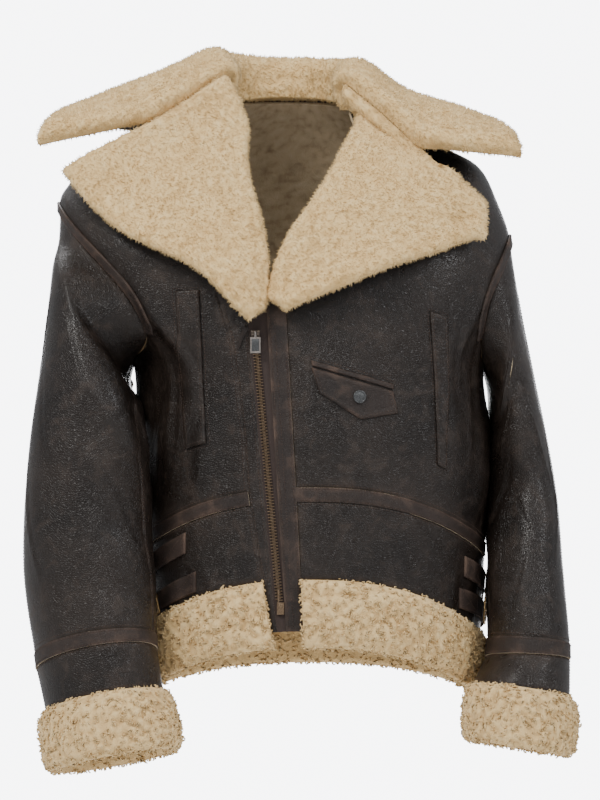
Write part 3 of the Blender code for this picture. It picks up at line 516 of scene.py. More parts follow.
def metal_finish(name, deep, base, roughness):
    made, tree, shader = start_material(name)
    place = place_of(tree)
    patina = cloud(tree, place, 900, 5, 0.65)
    scratch = cloud(tree, place, 1500, 2, 0.5)
    tree.links.new(blend(tree, spread(tree, patina, 0.38, 0.62), deep, base), shader.inputs["Base Color"])
    tree.links.new(spread(tree, patina, 0.3, 0.7, roughness + 0.18, roughness), shader.inputs["Roughness"])
    shader.inputs["Metallic"].default_value = 1.0
    relief(tree, shader, ((scratch, 0.0001, 0.25),))
    return made


def woven_finish(name, deep, base):
    made, tree, shader = start_material(name)
    place = place_of(tree)
    rib = add(tree, "TexWave", {"Vector": place, "Scale": 260.0, "Distortion": 0.4}, bands_direction="Z")
    slub = cloud(tree, place, 420, 3, 0.6)
    tree.links.new(blend(tree, calc(tree, "MULTIPLY", rib.outputs["Fac"], slub), deep, base),
                   shader.inputs["Base Color"])
    shader.inputs["Roughness"].default_value = 0.9
    shader.inputs["Sheen Weight"].default_value = 0.15
    relief(tree, shader, ((rib.outputs["Fac"], 0.0004, 0.6), (slub, 0.0003, 0.4)))
    return made


FINISHES = {
    "leather": leather_finish("dark brown leather", (0.008, 0.0055, 0.0042), (0.019, 0.0135, 0.0105),
                              (0.06, 0.042, 0.032), 0.24, 0.42),
    "trim": leather_finish("worn brown trim leather", (0.0112, 0.0075, 0.0060), (0.023, 0.0152, 0.0122),
                           (0.10, 0.064, 0.046), 0.4, 0.6, 520.0, 0.9),
    "suede": leather_finish("rough side strap leather", (0.018, 0.0115, 0.009), (0.038, 0.0245, 0.019),
                            (0.13, 0.084, 0.06), 0.62, 0.82, 900.0, 1.0),
    "under_collar": leather_finish("under collar leather", (0.009, 0.006, 0.005), (0.018, 0.012, 0.0095),
                                   (0.04, 0.028, 0.022), 0.55, 0.75),
    # for the three wools the first colour is painted shade for the roots and the hollows between locks, and
    # the last is painted light on the tips
    "lining": wool_finish("inside wool", (0.22, 0.16, 0.1), (0.42, 0.33, 0.21), (0.52, 0.42, 0.28), 130.0),
    "plush": wool_finish("cream plush wool", (0.58, 0.38, 0.155), (0.75, 0.52, 0.235), (0.85, 0.65, 0.34),
                         110.0),
    "curly": wool_finish("cream curly wool", (0.52, 0.335, 0.145), (0.73, 0.51, 0.24), (0.85, 0.65, 0.345),
                         150.0),
    "thread": leather_finish("brown thread", (0.034, 0.02, 0.015), (0.075, 0.046, 0.034),
                             (0.14, 0.092, 0.068), 0.6, 0.8, 1500.0),
    "tape": woven_finish("brown zip tape", (0.02, 0.012, 0.01), (0.06, 0.036, 0.028)),
    "brass": metal_finish("antique brass", (0.12, 0.08, 0.05), (0.33, 0.235, 0.15), 0.26),
    "slider_brass": metal_finish("blackened brass", (0.06, 0.048, 0.038), (0.2, 0.165, 0.135), 0.22),
    "buckle_brass": metal_finish("warm brass", (0.3, 0.18, 0.07), (0.6, 0.4, 0.19), 0.24),
    "dark_nickel": metal_finish("dark nickel", (0.2, 0.18, 0.16), (0.42, 0.38, 0.35), 0.24),
    "snap_metal": metal_finish("gunmetal snap", (0.055, 0.056, 0.056), (0.15, 0.155, 0.157), 0.3),
}


# ---------------------------------------------------------------- meshes from grids
def mesh_piece(name, points, faces, finishes, face_finish=None, attributes=(), smooth_to=50.0):
    """An object from points in mm and an array of faces that all have the same number of corners."""
    data = bpy.data.meshes.new(name)
    data.vertices.add(len(points))
    data.vertices.foreach_set("co", (np.asarray(points) * MM).ravel())
    data.loops.add(faces.size)
    data.loops.foreach_set("vertex_index", faces.ravel().astype(np.int32))
    data.polygons.add(len(faces))
    data.polygons.foreach_set("loop_start", np.arange(0, faces.size, faces.shape[1], dtype=np.int32))
    if face_finish is not None:
        data.polygons.foreach_set("material_index", np.asarray(face_finish, np.int32))
    data.update(calc_edges=True)
    for key, values in dict(attributes).items():
        data.attributes.new(key, "FLOAT", "POINT").data.foreach_set("value", np.asarray(values, np.float32))
    for finish in finishes:
        data.materials.append(FINISHES[finish])
    data.shade_smooth()
    if smooth_to:
        data.set_sharp_from_angle(angle=math.radians(smooth_to))
    piece = bpy.data.objects.new(name, data)
    bpy.context.scene.collection.objects.link(piece)
    return piece


def on_jacket(piece, slot, *nodes):
    """Let a piece ride on the jacket, in the place of the nodes it stands for; the slot argument is not used.
    """
    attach(piece, JACKET)
    if nodes:
        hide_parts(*nodes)
    return piece


def edge_distance(grid, tube=False):
    """Distance in mm from each point of a grid to its nearest edge, along rows and columns."""
    down = np.linalg.norm(np.diff(grid, axis=0), axis=-1)
    down = np.concatenate([np.zeros((1, grid.shape[1])), np.cumsum(down, axis=0)])
    reach = np.minimum(down, down[-1:] - down)
    if tube:
        return reach
    along = np.linalg.norm(np.diff(grid, axis=1), axis=-1)
    along = np.concatenate([np.zeros((grid.shape[0], 1)), np.cumsum(along, axis=1)], axis=1)
    return np.minimum(reach, np.minimum(along, along[:, -1:] - along))


def grid_faces(rows, columns, tube):
    spans = columns if tube else columns - 1
    i, j = np.meshgrid(np.arange(rows - 1), np.arange(spans), indexing="ij")
    k = (j + 1) % columns
    quads = np.stack([i * columns + j, i * columns + k, (i + 1) * columns + k, (i + 1) * columns + j], -1)
    return quads.reshape(-1, 4)


def shell(name, outer, inner, finishes, tube=False, attributes=(), smooth_to=50.0, edge_finish=1):
    """Closed shell between two grids: finish 0 outside, finish 1 inside, and the edges as told."""
    rows, columns = outer.shape[:2]
    count = rows * columns
    out = grid_faces(rows, columns, tube)
    into = out[:, ::-1] + count
    loops = []
    number = np.arange(count).reshape(rows, columns)
    spans = columns if tube else columns - 1
    j = np.arange(spans)
    k = (j + 1) % columns
    loops.append(np.stack([number[0, k], number[0, j], number[0, j] + count, number[0, k] + count], -1))
    loops.append(np.stack([number[-1, j], number[-1, k], number[-1, k] + count, number[-1, j] + count], -1))
    if not tube:
        i = np.arange(rows - 1)
        loops.append(np.stack([number[i, 0], number[i + 1, 0], number[i + 1, 0] + count,
                               number[i, 0] + count], -1))
        loops.append(np.stack([number[i + 1, -1], number[i, -1], number[i, -1] + count,
                               number[i + 1, -1] + count], -1))
    rims = np.concatenate(loops)
    faces = np.concatenate([out, into, rims])
    a, b, c = [outer.reshape(-1, 3)[out[:, n]] for n in (0, 1, 3)]
    away = (outer - inner).reshape(-1, 3)[out[:, 0]]
    if np.sum(np.cross(b - a, c - a) * away) < 0:
        faces = faces[:, ::-1]
    finish_of = np.concatenate([np.zeros(len(out)), np.ones(len(into)), np.full(len(rims), edge_finish)])
    points = np.concatenate([outer.reshape(-1, 3), inner.reshape(-1, 3)])
    full = {}
    for key, (outside, inside) in dict(attributes).items():
        both = [np.broadcast_to(np.ravel(value), (count,)) for value in (outside, inside)]
        full[key] = np.concatenate(both)
    return mesh_piece(name, points, faces, finishes, finish_of, full, smooth_to)


def noise_places(points, size, seed):
    """Where points in mm lie in noise of this size; every seed has a part of it to itself."""
    shift = Vector((seed * 7.3, seed * 3.1, seed * 5.7))
    flat = np.asarray(points).reshape(-1, 3) / size
    return [Vector(p) + shift for p in flat.tolist()]


def noise_at(points, size, seed=0.0):
    """Smooth noise, about -1 to 1, at points in mm."""
    values = [noise.noise(place) for place in noise_places(points, size, seed)]
    return np.array(values).reshape(np.shape(points)[:-1])


def domes_at(points, size, seed=0.0):
    """Rounded locks, 0 between them and 1 on top, at points in mm."""
    near = [noise.voronoi(place)[0][0] for place in noise_places(points, size, seed)]
    return np.clip(1 - (np.array(near) / 0.75) ** 2, 0, 1).reshape(np.shape(points)[:-1])


def shares_across(count, fine=0.004):
    """Even shares from 0 to 1, closer together at both ends where a seam pulls the edge in."""
    return np.unique(np.concatenate([np.linspace(0, 1, count), [fine, 2.5 * fine, 1 - 2.5 * fine, 1 - fine]]))


def seam_dip(distance, depth=1.1, width=2.0):
    return -depth * np.exp(-(distance / width) ** 2)


def edge_wear(distance, point, reach=5.0, seed=1.0):
    rub = 0.55 + 0.9 * noise_at(point, 26.0, seed)
    return np.clip(np.exp(-distance / reach) * rub, 0, 1)


def skin_panel(node, grid, finish="leather", lift=0.0, tube=False, dip=1.1, reach=4.0):
    """A leather panel with its inside wool, edges drawn in at the seams; grid is points and normals."""
    point, normal = grid
    distance = edge_distance(point, tube)
    slack = 0.35 * noise_at(point, 34.0, 2.0) * np.clip(distance / 12, 0, 1)
    outer = point + normal * (lift + slack + seam_dip(distance, dip))[..., None]
    plush = 0.8 * noise_at(point, 7.0, 5.0)
    inner = point - normal * (WALL - LINING_FREE + plush * 0.5)[..., None]
    wear_and_painted_shade = (edge_wear(distance, point, reach), 0.0)
    # the inside wool's tip value follows the pile's own height, so the wool colour paints shade where it lies
    # lower
    tip = (0.5, np.clip(0.5 + plush.ravel(), 0, 1))
    piece = shell(node + "_skin", outer, inner, (finish, "lining"), tube, {"wear_and_painted_shade": wear_and_painted_shade, "tip": tip})
    return on_jacket(piece, "leather" if finish == "leather" else "trim_leather", node)


def laid_piece(node, grid, thickness, lift, finish="trim", pillow=1.6, crown=0.0, reach=3.0):
    """A piece lying on another: edges rounded over pillow, a slight crown, its own wear."""
    point, normal = grid
    distance = edge_distance(point)
    inside = np.clip(distance / pillow, 0, 1)
    swell = 0.4 + 0.6 * np.sqrt(1 - (1 - inside) ** 2) + crown * np.clip(distance / 6, 0, 1)
    outer = point + normal * (lift + thickness * swell)[..., None]
    inner = point + normal * (lift * 0.35)
    piece = shell(node + "_leather", outer, inner, (finish, finish),
                  attributes={"wear_and_painted_shade": (edge_wear(distance, point, reach, 3.0), 0.3)})
    return on_jacket(piece, "trim_leather", node)


# ---------------------------------------------------------------- body panels
# angle, z, half angle, half height, angle drift per mm, height
BODY_CREASES = (
    (-46, -310, 1.3, 60, 0.02, 1.3), (-34, -300, 1.0, 42, 0.05, -0.9), (-58, -390, 1.6, 70, 0.03, 1.5),
    (-49, -420, 1.1, 38, 0.07, 0.9), (-66, -350, 1.2, 46, -0.06, -1.1), (-28, -470, 1.6, 26, 0.16, 0.9),
    (38, -290, 1.1, 36, -0.10, 1.0), (52, -300, 1.4, 48, -0.05, -1.2), (62, -370, 1.4, 64, 0.02, 1.4),
    (44, -400, 1.2, 34, -0.12, 0.8), (73, -420, 1.5, 52, 0.04, -1.1), (22, -440, 1.5, 24, -0.22, 0.8),
    (12, -250, 1.0, 20, -0.20, 0.6), (-80, -420, 1.5, 58, 0.04, 1.3), (82, -380, 1.5, 50, -0.03, 1.2),
    (104, -360, 1.5, 70, 0.05, 1.5), (121, -300, 1.2, 46, -0.08, 1.1), (133, -420, 1.8, 52, 0.09, -1.3),
    (150, -330, 1.4, 74, 0.03, 1.4), (171, -380, 1.7, 48, 0.12, 1.1), (188, -290, 1.3, 54, -0.06, -1.1),
    (203, -400, 1.8, 60, -0.05, 1.4), (222, -320, 1.3, 66, 0.04, 1.2), (239, -370, 1.6, 58, -0.06, 1.4),
    (254, -300, 1.3, 44, 0.08, -1.0), (159, -200, 1.5, 34, 0.18, 0.9), (212, -190, 1.5, 30, -0.2, 0.9),
    (84, -430, 20, 125, 0.0, 5.5), (-86, -325, 14, 55, 0.0, 6.0),
    (-52, -330, 3.2, 85, 0.03, 2.2), (-40, -400, 3.6, 60, 0.08, -1.6), (-30, -570, 2.4, 36, -0.12, 1.5),
    (-48, -580, 2.8, 40, 0.06, 1.6), (20, -330, 3.4, 70, -0.03, -1.4), (30, -460, 4.0, 40, -0.15, 1.6),
    (36, -560, 1.8, 38, -0.24, 1.8), (52, -575, 2.6, 36, 0.10, 1.6), (24, -580, 2.2, 34, -0.10, -1.3),
    (70, -580, 2.4, 40, 0.05, 1.7), (140, -570, 2.6, 40, 0.08, 1.6), (200, -575, 3.0, 42, -0.07, 1.6),
    (56, -250, 3.0, 50, 0.06, 1.8), (66, -300, 2.4, 60, -0.02, -1.6),
    (128, -340, 3.4, 90, 0.04, 2.6), (150, -450, 3.8, 46, 0.16, 2.2), (174, -270, 3.6, 46, 0.12, -1.8),
    (205, -445, 4.0, 56, -0.14, 2.4), (229, -345, 3.4, 88, -0.03, -2.2), (247, -430, 3.0, 50, 0.08, 2.2),
    (164, -150, 4.2, 30, 0.30, 2.0), (199, -142, 3.9, 26, -0.32, 1.7),
)
# turn, row, half turn, half rows, drift of turn per row, height
SLEEVE_CREASES = {
    -1: ((96, 2.6, 3.0, 0.7, 26, 1.6), (128, 3.3, 3.4, 0.62, -34, 1.8), (70, 3.8, 2.8, 0.7, 30, -1.3),
         (148, 4.3, 3.4, 0.55, 44, 1.7), (112, 4.9, 3.0, 0.6, -46, 1.4), (52, 4.7, 2.6, 0.5, 20, 1.1),
         (164, 2.2, 3.0, 0.5, 16, -1.4), (34, 2.9, 2.4, 0.8, -14, 0.9), (84, 5.5, 2.6, 0.4, 38, -1.1),
         (210, 3.1, 3.2, 0.7, 24, 1.6), (246, 4.0, 3.0, 0.6, -28, 1.4), (286, 3.4, 2.8, 0.7, 18, -1.2),
         (228, 5.0, 3.0, 0.5, 40, 1.3), (322, 4.4, 2.6, 0.6, -20, 1.0), (190, 4.8, 2.8, 0.4, 30, -1.1),
         (202, 2.7, 5.4, 0.8, 30, 2.6), (238, 3.5, 5.2, 0.7, -34, 2.4), (272, 4.6, 4.8, 0.6, 36, -2.0),
         (302, 2.8, 4.6, 0.8, -20, 2.0), (150, 2.4, 22, 0.8, 0, 6.0)),
    1: ((104, 1.9, 2.8, 0.42, 52, 1.7), (88, 2.4, 2.4, 0.36, -60, -1.5), (124, 3.0, 3.2, 0.6, 30, 1.7),
        (66, 3.5, 2.8, 0.7, -24, 1.2), (142, 4.0, 3.2, 0.5, 46, -1.5), (98, 4.5, 2.9, 0.55, -38, 1.4),
        (48, 4.2, 2.5, 0.6, 18, 1.0), (120, 5.2, 2.8, 0.42, 34, 1.2), (78, 5.5, 2.4, 0.4, -30, -1.0),
        (208, 2.7, 3.0, 0.7, -22, 1.5), (244, 3.6, 3.0, 0.6, 30, 1.4), (282, 4.3, 2.8, 0.6, -26, -1.2),
        (226, 4.9, 3.0, 0.5, 36, 1.3), (316, 3.2, 2.6, 0.7, 16, 1.0), (188, 5.3, 2.7, 0.4, -32, 1.1),
        (206, 2.5, 5.2, 0.8, -28, 2.4), (240, 3.3, 5.4, 0.7, 32, 2.6), (276, 4.5, 4.6, 0.6, -34, -2.0),
        (304, 2.9, 4.8, 0.8, 22, 1.9), (158, 4.2, 20, 1.5, 0, 5.0)),
}
SHOULDER = np.linspace(NECK, TIP, 40)
ARM = 6 - np.cos(np.pi * np.linspace(0, 1, 37))[1:]
WAIST = np.linspace(UNDERARM, BAND_TOP, 34)[1:]
# rows of each panel, with one or two close to a seam, where the leather is drawn in
ROWS = {
    "upper": np.concatenate([SHOULDER, ARM, WAIST, [8.985, 8.96]]),
    "band": np.array([9.0, 9.06, 9.2, 9.4, 9.6, 9.8, 9.94, 10.0]),
    "lower": np.concatenate([np.linspace(BAND_BOTTOM, HEM_TOP, 26), [10.012, 10.03]]),
}
ROWS = {key: np.unique(rows) for key, rows in ROWS.items()}


def line_angle(line):
    return lambda row: angle_on_line(row, line)


def side_angle(side, face):
    """Angle of the side seam, the armhole and the shoulder seam, for the front or the back."""
    def angle_of(row):
        at_armhole = armhole_place(side, face * armhole_turn(row))[1]
        place = np.where((row > TIP) & (row < UNDERARM), at_armhole, side * 90.0)
        return place % 360 if face < 0 else place
    return angle_of


FRONT_SIDE_EDGE = line_angle(SIDE_FRONT_LINE)
PLACKET_EDGE = line_angle(PLACKET_OUTER_LINE)
SECTIONS = (
    ("right", side_angle(-1, 1), FRONT_SIDE_EDGE, 50),
    ("left", PLACKET_EDGE, side_angle(1, 1), 50),
    ("back", side_angle(1, -1), side_angle(-1, -1), 90),
)


def body_grid(rows, start, end, shares):
    first, last = start(rows)[:, None], end(rows)[:, None]
    return np.broadcast_arrays(rows[:, None], first + (last - first) * shares[None, :])


STRIP_END = 11.75


def body_panels():
    back_names = {"upper": "back", "band": "waist_band_back", "lower": "lower_back"}
    front_names = {"upper": "front_", "band": "waist_band_", "lower": "lower_front_"}
    for key, rows in ROWS.items():
        for part, start, end, count in SECTIONS:
            node = back_names[key] if part == "back" else front_names[key] + part
            grid = body_frame(*body_grid(rows, start, end, shares_across(count)))
            if key == "band":
                skin_panel(node, grid, "trim", TRIM_PROUD, dip=0.5)
            else:
                skin_panel(node, grid)
    strip_rows = np.unique(np.concatenate([SHOULDER[SHOULDER >= 4.5], ARM, WAIST, ROWS["band"],
                                           ROWS["lower"], np.linspace(HEM_TOP, STRIP_END, 16)]))
    placket_rows = strip_rows[strip_rows > 5.2]
    tape_rows = strip_rows[strip_rows > 5.5]
    shares = shares_across(12, 0.03)
    for name, rows, start, end, finish, lift in (
            ("zip_facing_strip", strip_rows, FRONT_SIDE_EDGE, line_angle(STRIP_ZIP_LINE), "leather", 0.0),
            ("placket", placket_rows, line_angle(PLACKET_ZIP_LINE), PLACKET_EDGE, "trim", 1.5)):
        grid = body_frame(*body_grid(rows, start, end, shares))
        skin_panel(name, grid, finish, lift, dip=0.8, reach=3.0)
    place = body_grid(tape_rows, line_angle(STRIP_ZIP_LINE), line_angle(PLACKET_ZIP_LINE), shares)
    point, normal = body_frame(*place)
    tape = shell("zip_tape_weave", point - normal * 1.0, point - normal * 2.2, ("tape", "tape"))
    on_jacket(tape, "tape", "zip_tape")


# ---------------------------------------------------------------- sleeves
SLEEVE_ROWS = np.unique(np.concatenate([np.linspace(0, FOREARM_TOP, 98), [0.015, 0.04, 5.985, 5.96]]))
FOREARM_ROWS = np.array([6.0, 6.04, 6.15, 6.35, 6.6, 6.8, 6.94, 7.0])
LOWER_SLEEVE_ROWS = np.unique(np.concatenate([np.linspace(FOREARM_BOTTOM, CUFF_TOP, 18), [7.02, 7.98]]))
# how far the first rows of a sleeve lean to the body's own normal at the armhole
ARMHOLE_LEAN = (0.5, 0.42, 0.32, 0.2, 0.1)


def sleeve_grid(side, rows, shares):
    row, share = np.broadcast_arrays(rows[:, None], shares[None, :])
    turn = sleeve_turn(row, share)
    point, normal = sleeve_frame(side, row, turn)
    if rows[0] == 0:
        at_seam = body_frame(*armhole_place(side, turn[0]))[1]
        normal = normal.copy()
        for line, mix in enumerate(ARMHOLE_LEAN):
            normal[line] = unit(normal[line] * (1 - mix) + at_seam * mix)
    return point, normal


def sleeves():
    for side, hand in SIDES:
        half = shares_across(54)
        for name, shares in (("sleeve_front_", half), ("sleeve_back_", half + 1)):
            skin_panel(name + hand, sleeve_grid(side, SLEEVE_ROWS, shares))
        around = np.linspace(0, 2, 121)[:-1]
        grid = sleeve_grid(side, FOREARM_ROWS, around)
        skin_panel("forearm_band_" + hand, grid, "trim", TRIM_PROUD, True, 0.5)
        skin_panel("sleeve_lower_" + hand, sleeve_grid(side, LOWER_SLEEVE_ROWS, around), tube=True)


# ---------------------------------------------------------------- trims laid on the panels
def front_quad(corners, across, down):
    """Places on the front between x, z corners: top left, top right, bottom left, bottom right."""
    top_left, top_right, low_left, low_right = [np.array(corner, float) for corner in corners]
    u, v = np.meshgrid(across, down)
    u, v = u[..., None], v[..., None]
    spot = (top_left * (1 - u) + top_right * u) * (1 - v) + (low_left * (1 - u) + low_right * u) * v
    return place_on_front(spot[..., 0], spot[..., 1])


def through(points, count):
    """Evenly spaced points along a bent line."""
    points = np.asarray(points, float)
    steps = np.concatenate([[0], np.cumsum(np.linalg.norm(np.diff(points, axis=0), axis=-1))])
    at = np.linspace(0, steps[-1], count)
    return np.stack([np.interp(at, steps, points[:, k]) for k in range(points.shape[1])], -1)


WELTS = (
    ("welt_right", -1, ((-132, -221), (-105, -220), (-121, -401), (-97, -394))),
    ("welt_left", 1, ((157, -244), (176, -250), (166, -419), (175, -424))),
)
JET = ((22, -300), (115, -327), (22.5, -306), (115, -333))
FLAP_TOP = ((22, -308), (114.5, -335))
FLAP_LOW = ((31, -337), (78, -367), (120, -360))
FLAP_THICK = 3.4
WELT_THICK = 2.0
SNAP_PLACE = (76, -341.5)


def pockets():
    for name, side, corners in WELTS:
        grid = body_frame(*front_quad(corners, shares_across(14, 0.03), shares_across(56, 0.006)))
        laid_piece(name, grid, WELT_THICK, WELT_LIFT[side], "leather", 3.0, 0.12)
    grid = body_frame(*front_quad(JET, shares_across(50, 0.006), shares_across(7, 0.06)))
    laid_piece("pocket_jet", grid, WELT_THICK, LAY_GAP, pillow=2.0)
    top, low = through(FLAP_TOP, 61), through(FLAP_LOW, 61)
    down = shares_across(30, 0.012)[:, None, None]
    spot = top[None] * (1 - down) + low[None] * down
    point, normal = body_frame(*place_on_front(spot[..., 0], spot[..., 1]))
    distance = edge_distance(point)
    padded_edge = np.exp(-((distance - 3.2) / 2.1) ** 2) * 0.9
    sewn_groove = np.exp(-((distance - 8.5) / 1.1) ** 2) * -0.5
    raised = normal * (padded_edge + sewn_groove)[..., None]
    laid_piece("pocket_flap", (point + raised * 0.5, normal), FLAP_THICK - 0.6, LAY_GAP, pillow=2.4)


def armhole_band_places(side, turns, shares):
    """Places beside the armhole seam, on the body's side; shares run away from the seam."""
    turn = turns[:, None]
    row, angle = armhole_place(side, turn)
    point = body_form(row, angle)
    ahead = body_form(*armhole_place(side, turn + 1)) - body_form(*armhole_place(side, turn - 1))
    on_sleeve = sleeve_normal(sleeve_base, side, np.zeros_like(turn), turn)
    out = unit(body_normal(body_form, row, angle) + on_sleeve)
    across = unit(np.cross(ahead, out))
    to_sleeve = sleeve_base(side, np.full_like(turn, 0.3), turn) - point
    across = across * np.sign(np.sum(across * to_sleeve, -1))[..., None]
    down = (body_form(row + 0.1, angle) - body_form(row - 0.1, angle)) / 0.2
    around = (body_form(row, angle + 1) - body_form(row, angle - 1)) / 2
    move = -across * ARM_BAND_WIDTH
    aa, bb, ab = np.sum(down * down, -1), np.sum(around * around, -1), np.sum(down * around, -1)
    ma, mb = np.sum(move * down, -1), np.sum(move * around, -1)
    scale = aa * bb - ab * ab
    return row + (ma * bb - mb * ab) / scale * shares, angle + (mb * aa - ma * ab) / scale * shares


def armhole_bands():
    for side, hand in SIDES:
        turns = -ARM_BAND_REACH + 2 * ARM_BAND_REACH * shares_across(110, 0.003)
        shares = 0.05 + 0.95 * shares_across(9, 0.05)[None, :]
        grid = body_frame(*armhole_band_places(side, turns, shares))
        laid_piece("armhole_band_" + hand, grid, ARM_BAND_THICK, ARM_BAND_LIFT)


# name, side, start angle, start z, end angle, end z, share along the strap where its buckle sits
STRAPS = (
    ("right_upper", -1, 43, -508, 84, -556, 0.55),
    ("right_lower", -1, 38, -552, 80, -600, 0.55),
    ("left_upper", 1, 60, -536, 104, -572, 0.62),
    ("left_lower", 1, 57, -572, 100, -600, 0.62),
)
STRAP_WIDTH, STRAP_THICK, BUCKLE_THICK = 24.0, 2.4, 2.6


def strap_place(side, start, start_z, end, end_z, along, across):
    angle = start + (end - start) * along
    z = start_z + (end_z - start_z) * along + across
    return row_at_height(side * angle, z), side * angle + 0 * across


def straps():
    for name, *route, share in STRAPS:
        along = shares_across(44, 0.01)[:, None]
        across = (0.5 - shares_across(13, 0.03))[None, :] * STRAP_WIDTH
        across = across * np.where(along > 0.9, 1 - 2.0 * (along - 0.9), 1.0)
        grid = body_frame(*strap_place(*route, along, across))
        laid_piece("strap_" + name, grid, STRAP_THICK, LAY_GAP, "suede", 1.8, reach=4.0)
        clear = LAY_GAP + STRAP_THICK + 0.4
        along = np.linspace(share + 0.2, share + 0.3, 9)[:, None]
        across = np.linspace(14, -14, 19)[None, :]
        grid = body_frame(*strap_place(*route, along, across))
        laid_piece("keeper_" + name, grid, 1.8, clear, "suede", 1.5)
        at, normal = body_frame(*[np.array(v) for v in strap_place(*route, share, 0.0)])
        ahead = body_point(*strap_place(*route, share + 0.05, 0.0)) - at
        buckle(name, at + normal * (clear + BUCKLE_THICK / 2 + 0.2), normal, unit(ahead))


# ---------------------------------------------------------------- stitching
STITCH_PITCH = 3.5
# one stitch lying along x: four sides round its middle, pointed ends, in mm
STITCH_POINTS = np.array(((-1.35, 0, -0.1), (0, 0.5, 0.05), (0, 0, 0.6), (0, -0.5, 0.05), (1.35, 0, -0.1),
                          (0, 0, -0.3)))
STITCH_FACES = np.array(((0, 2, 1), (0, 3, 2), (4, 1, 2), (4, 2, 3), (0, 1, 5), (0, 5, 3), (4, 5, 1),
                         (4, 3, 5)))


def stitches_along(point, normal, proud):
    """Stitches at an even pitch along a path of points."""
    step = np.linalg.norm(np.diff(point, axis=0), axis=-1)
    run = np.concatenate([[0], np.cumsum(step)])
    at = np.arange(STITCH_PITCH / 2, run[-1], STITCH_PITCH)
    spot = np.stack([np.interp(at, run, point[:, k]) for k in range(3)], -1)
    out = unit(np.stack([np.interp(at, run, normal[:, k]) for k in range(3)], -1))
    ahead = np.stack([np.interp(at + 0.8, run, point[:, k]) - np.interp(at - 0.8, run, point[:, k])
                      for k in range(3)], -1)
    ahead = unit(ahead - out * np.sum(ahead * out, -1, keepdims=True))
    side = np.cross(out, ahead)
    x, y, z = [STITCH_POINTS[None, :, k:k + 1] for k in range(3)]
    place = (spot + out * proud)[:, None, :]
    return place + ahead[:, None, :] * x + side[:, None, :] * y + out[:, None, :] * z


def stitch_piece(name, runs):
    points = np.concatenate([stitches_along(*run) for run in runs])
    corners = len(STITCH_POINTS)
    faces = (STITCH_FACES[None] + corners * np.arange(len(points))[:, None, None]).reshape(-1, 3)
    wear_and_painted_shade = {"wear_and_painted_shade": np.full(len(points) * corners, 0.35)}
    on_jacket(mesh_piece(name, points.reshape(-1, 3), faces, ("thread",), None, wear_and_painted_shade, None), "trim_leather")


def body_run(row, angle, proud=0.05):
    row, angle = np.broadcast_arrays(np.asarray(row, float), np.asarray(angle, float))
    return body_frame(row, angle) + (proud,)


def beside(line, offset):
    return tuple((z, x + offset) for z, x in line)


# of the sewing: height on a welt, half width on a strap, where a strap's sewn box starts and ends
WELT_SEWN, STRAP_SEWN = 2.1, 9.4
BOX_START, BOX_END, BOX_LONG = 0.04, 0.3, 0.26


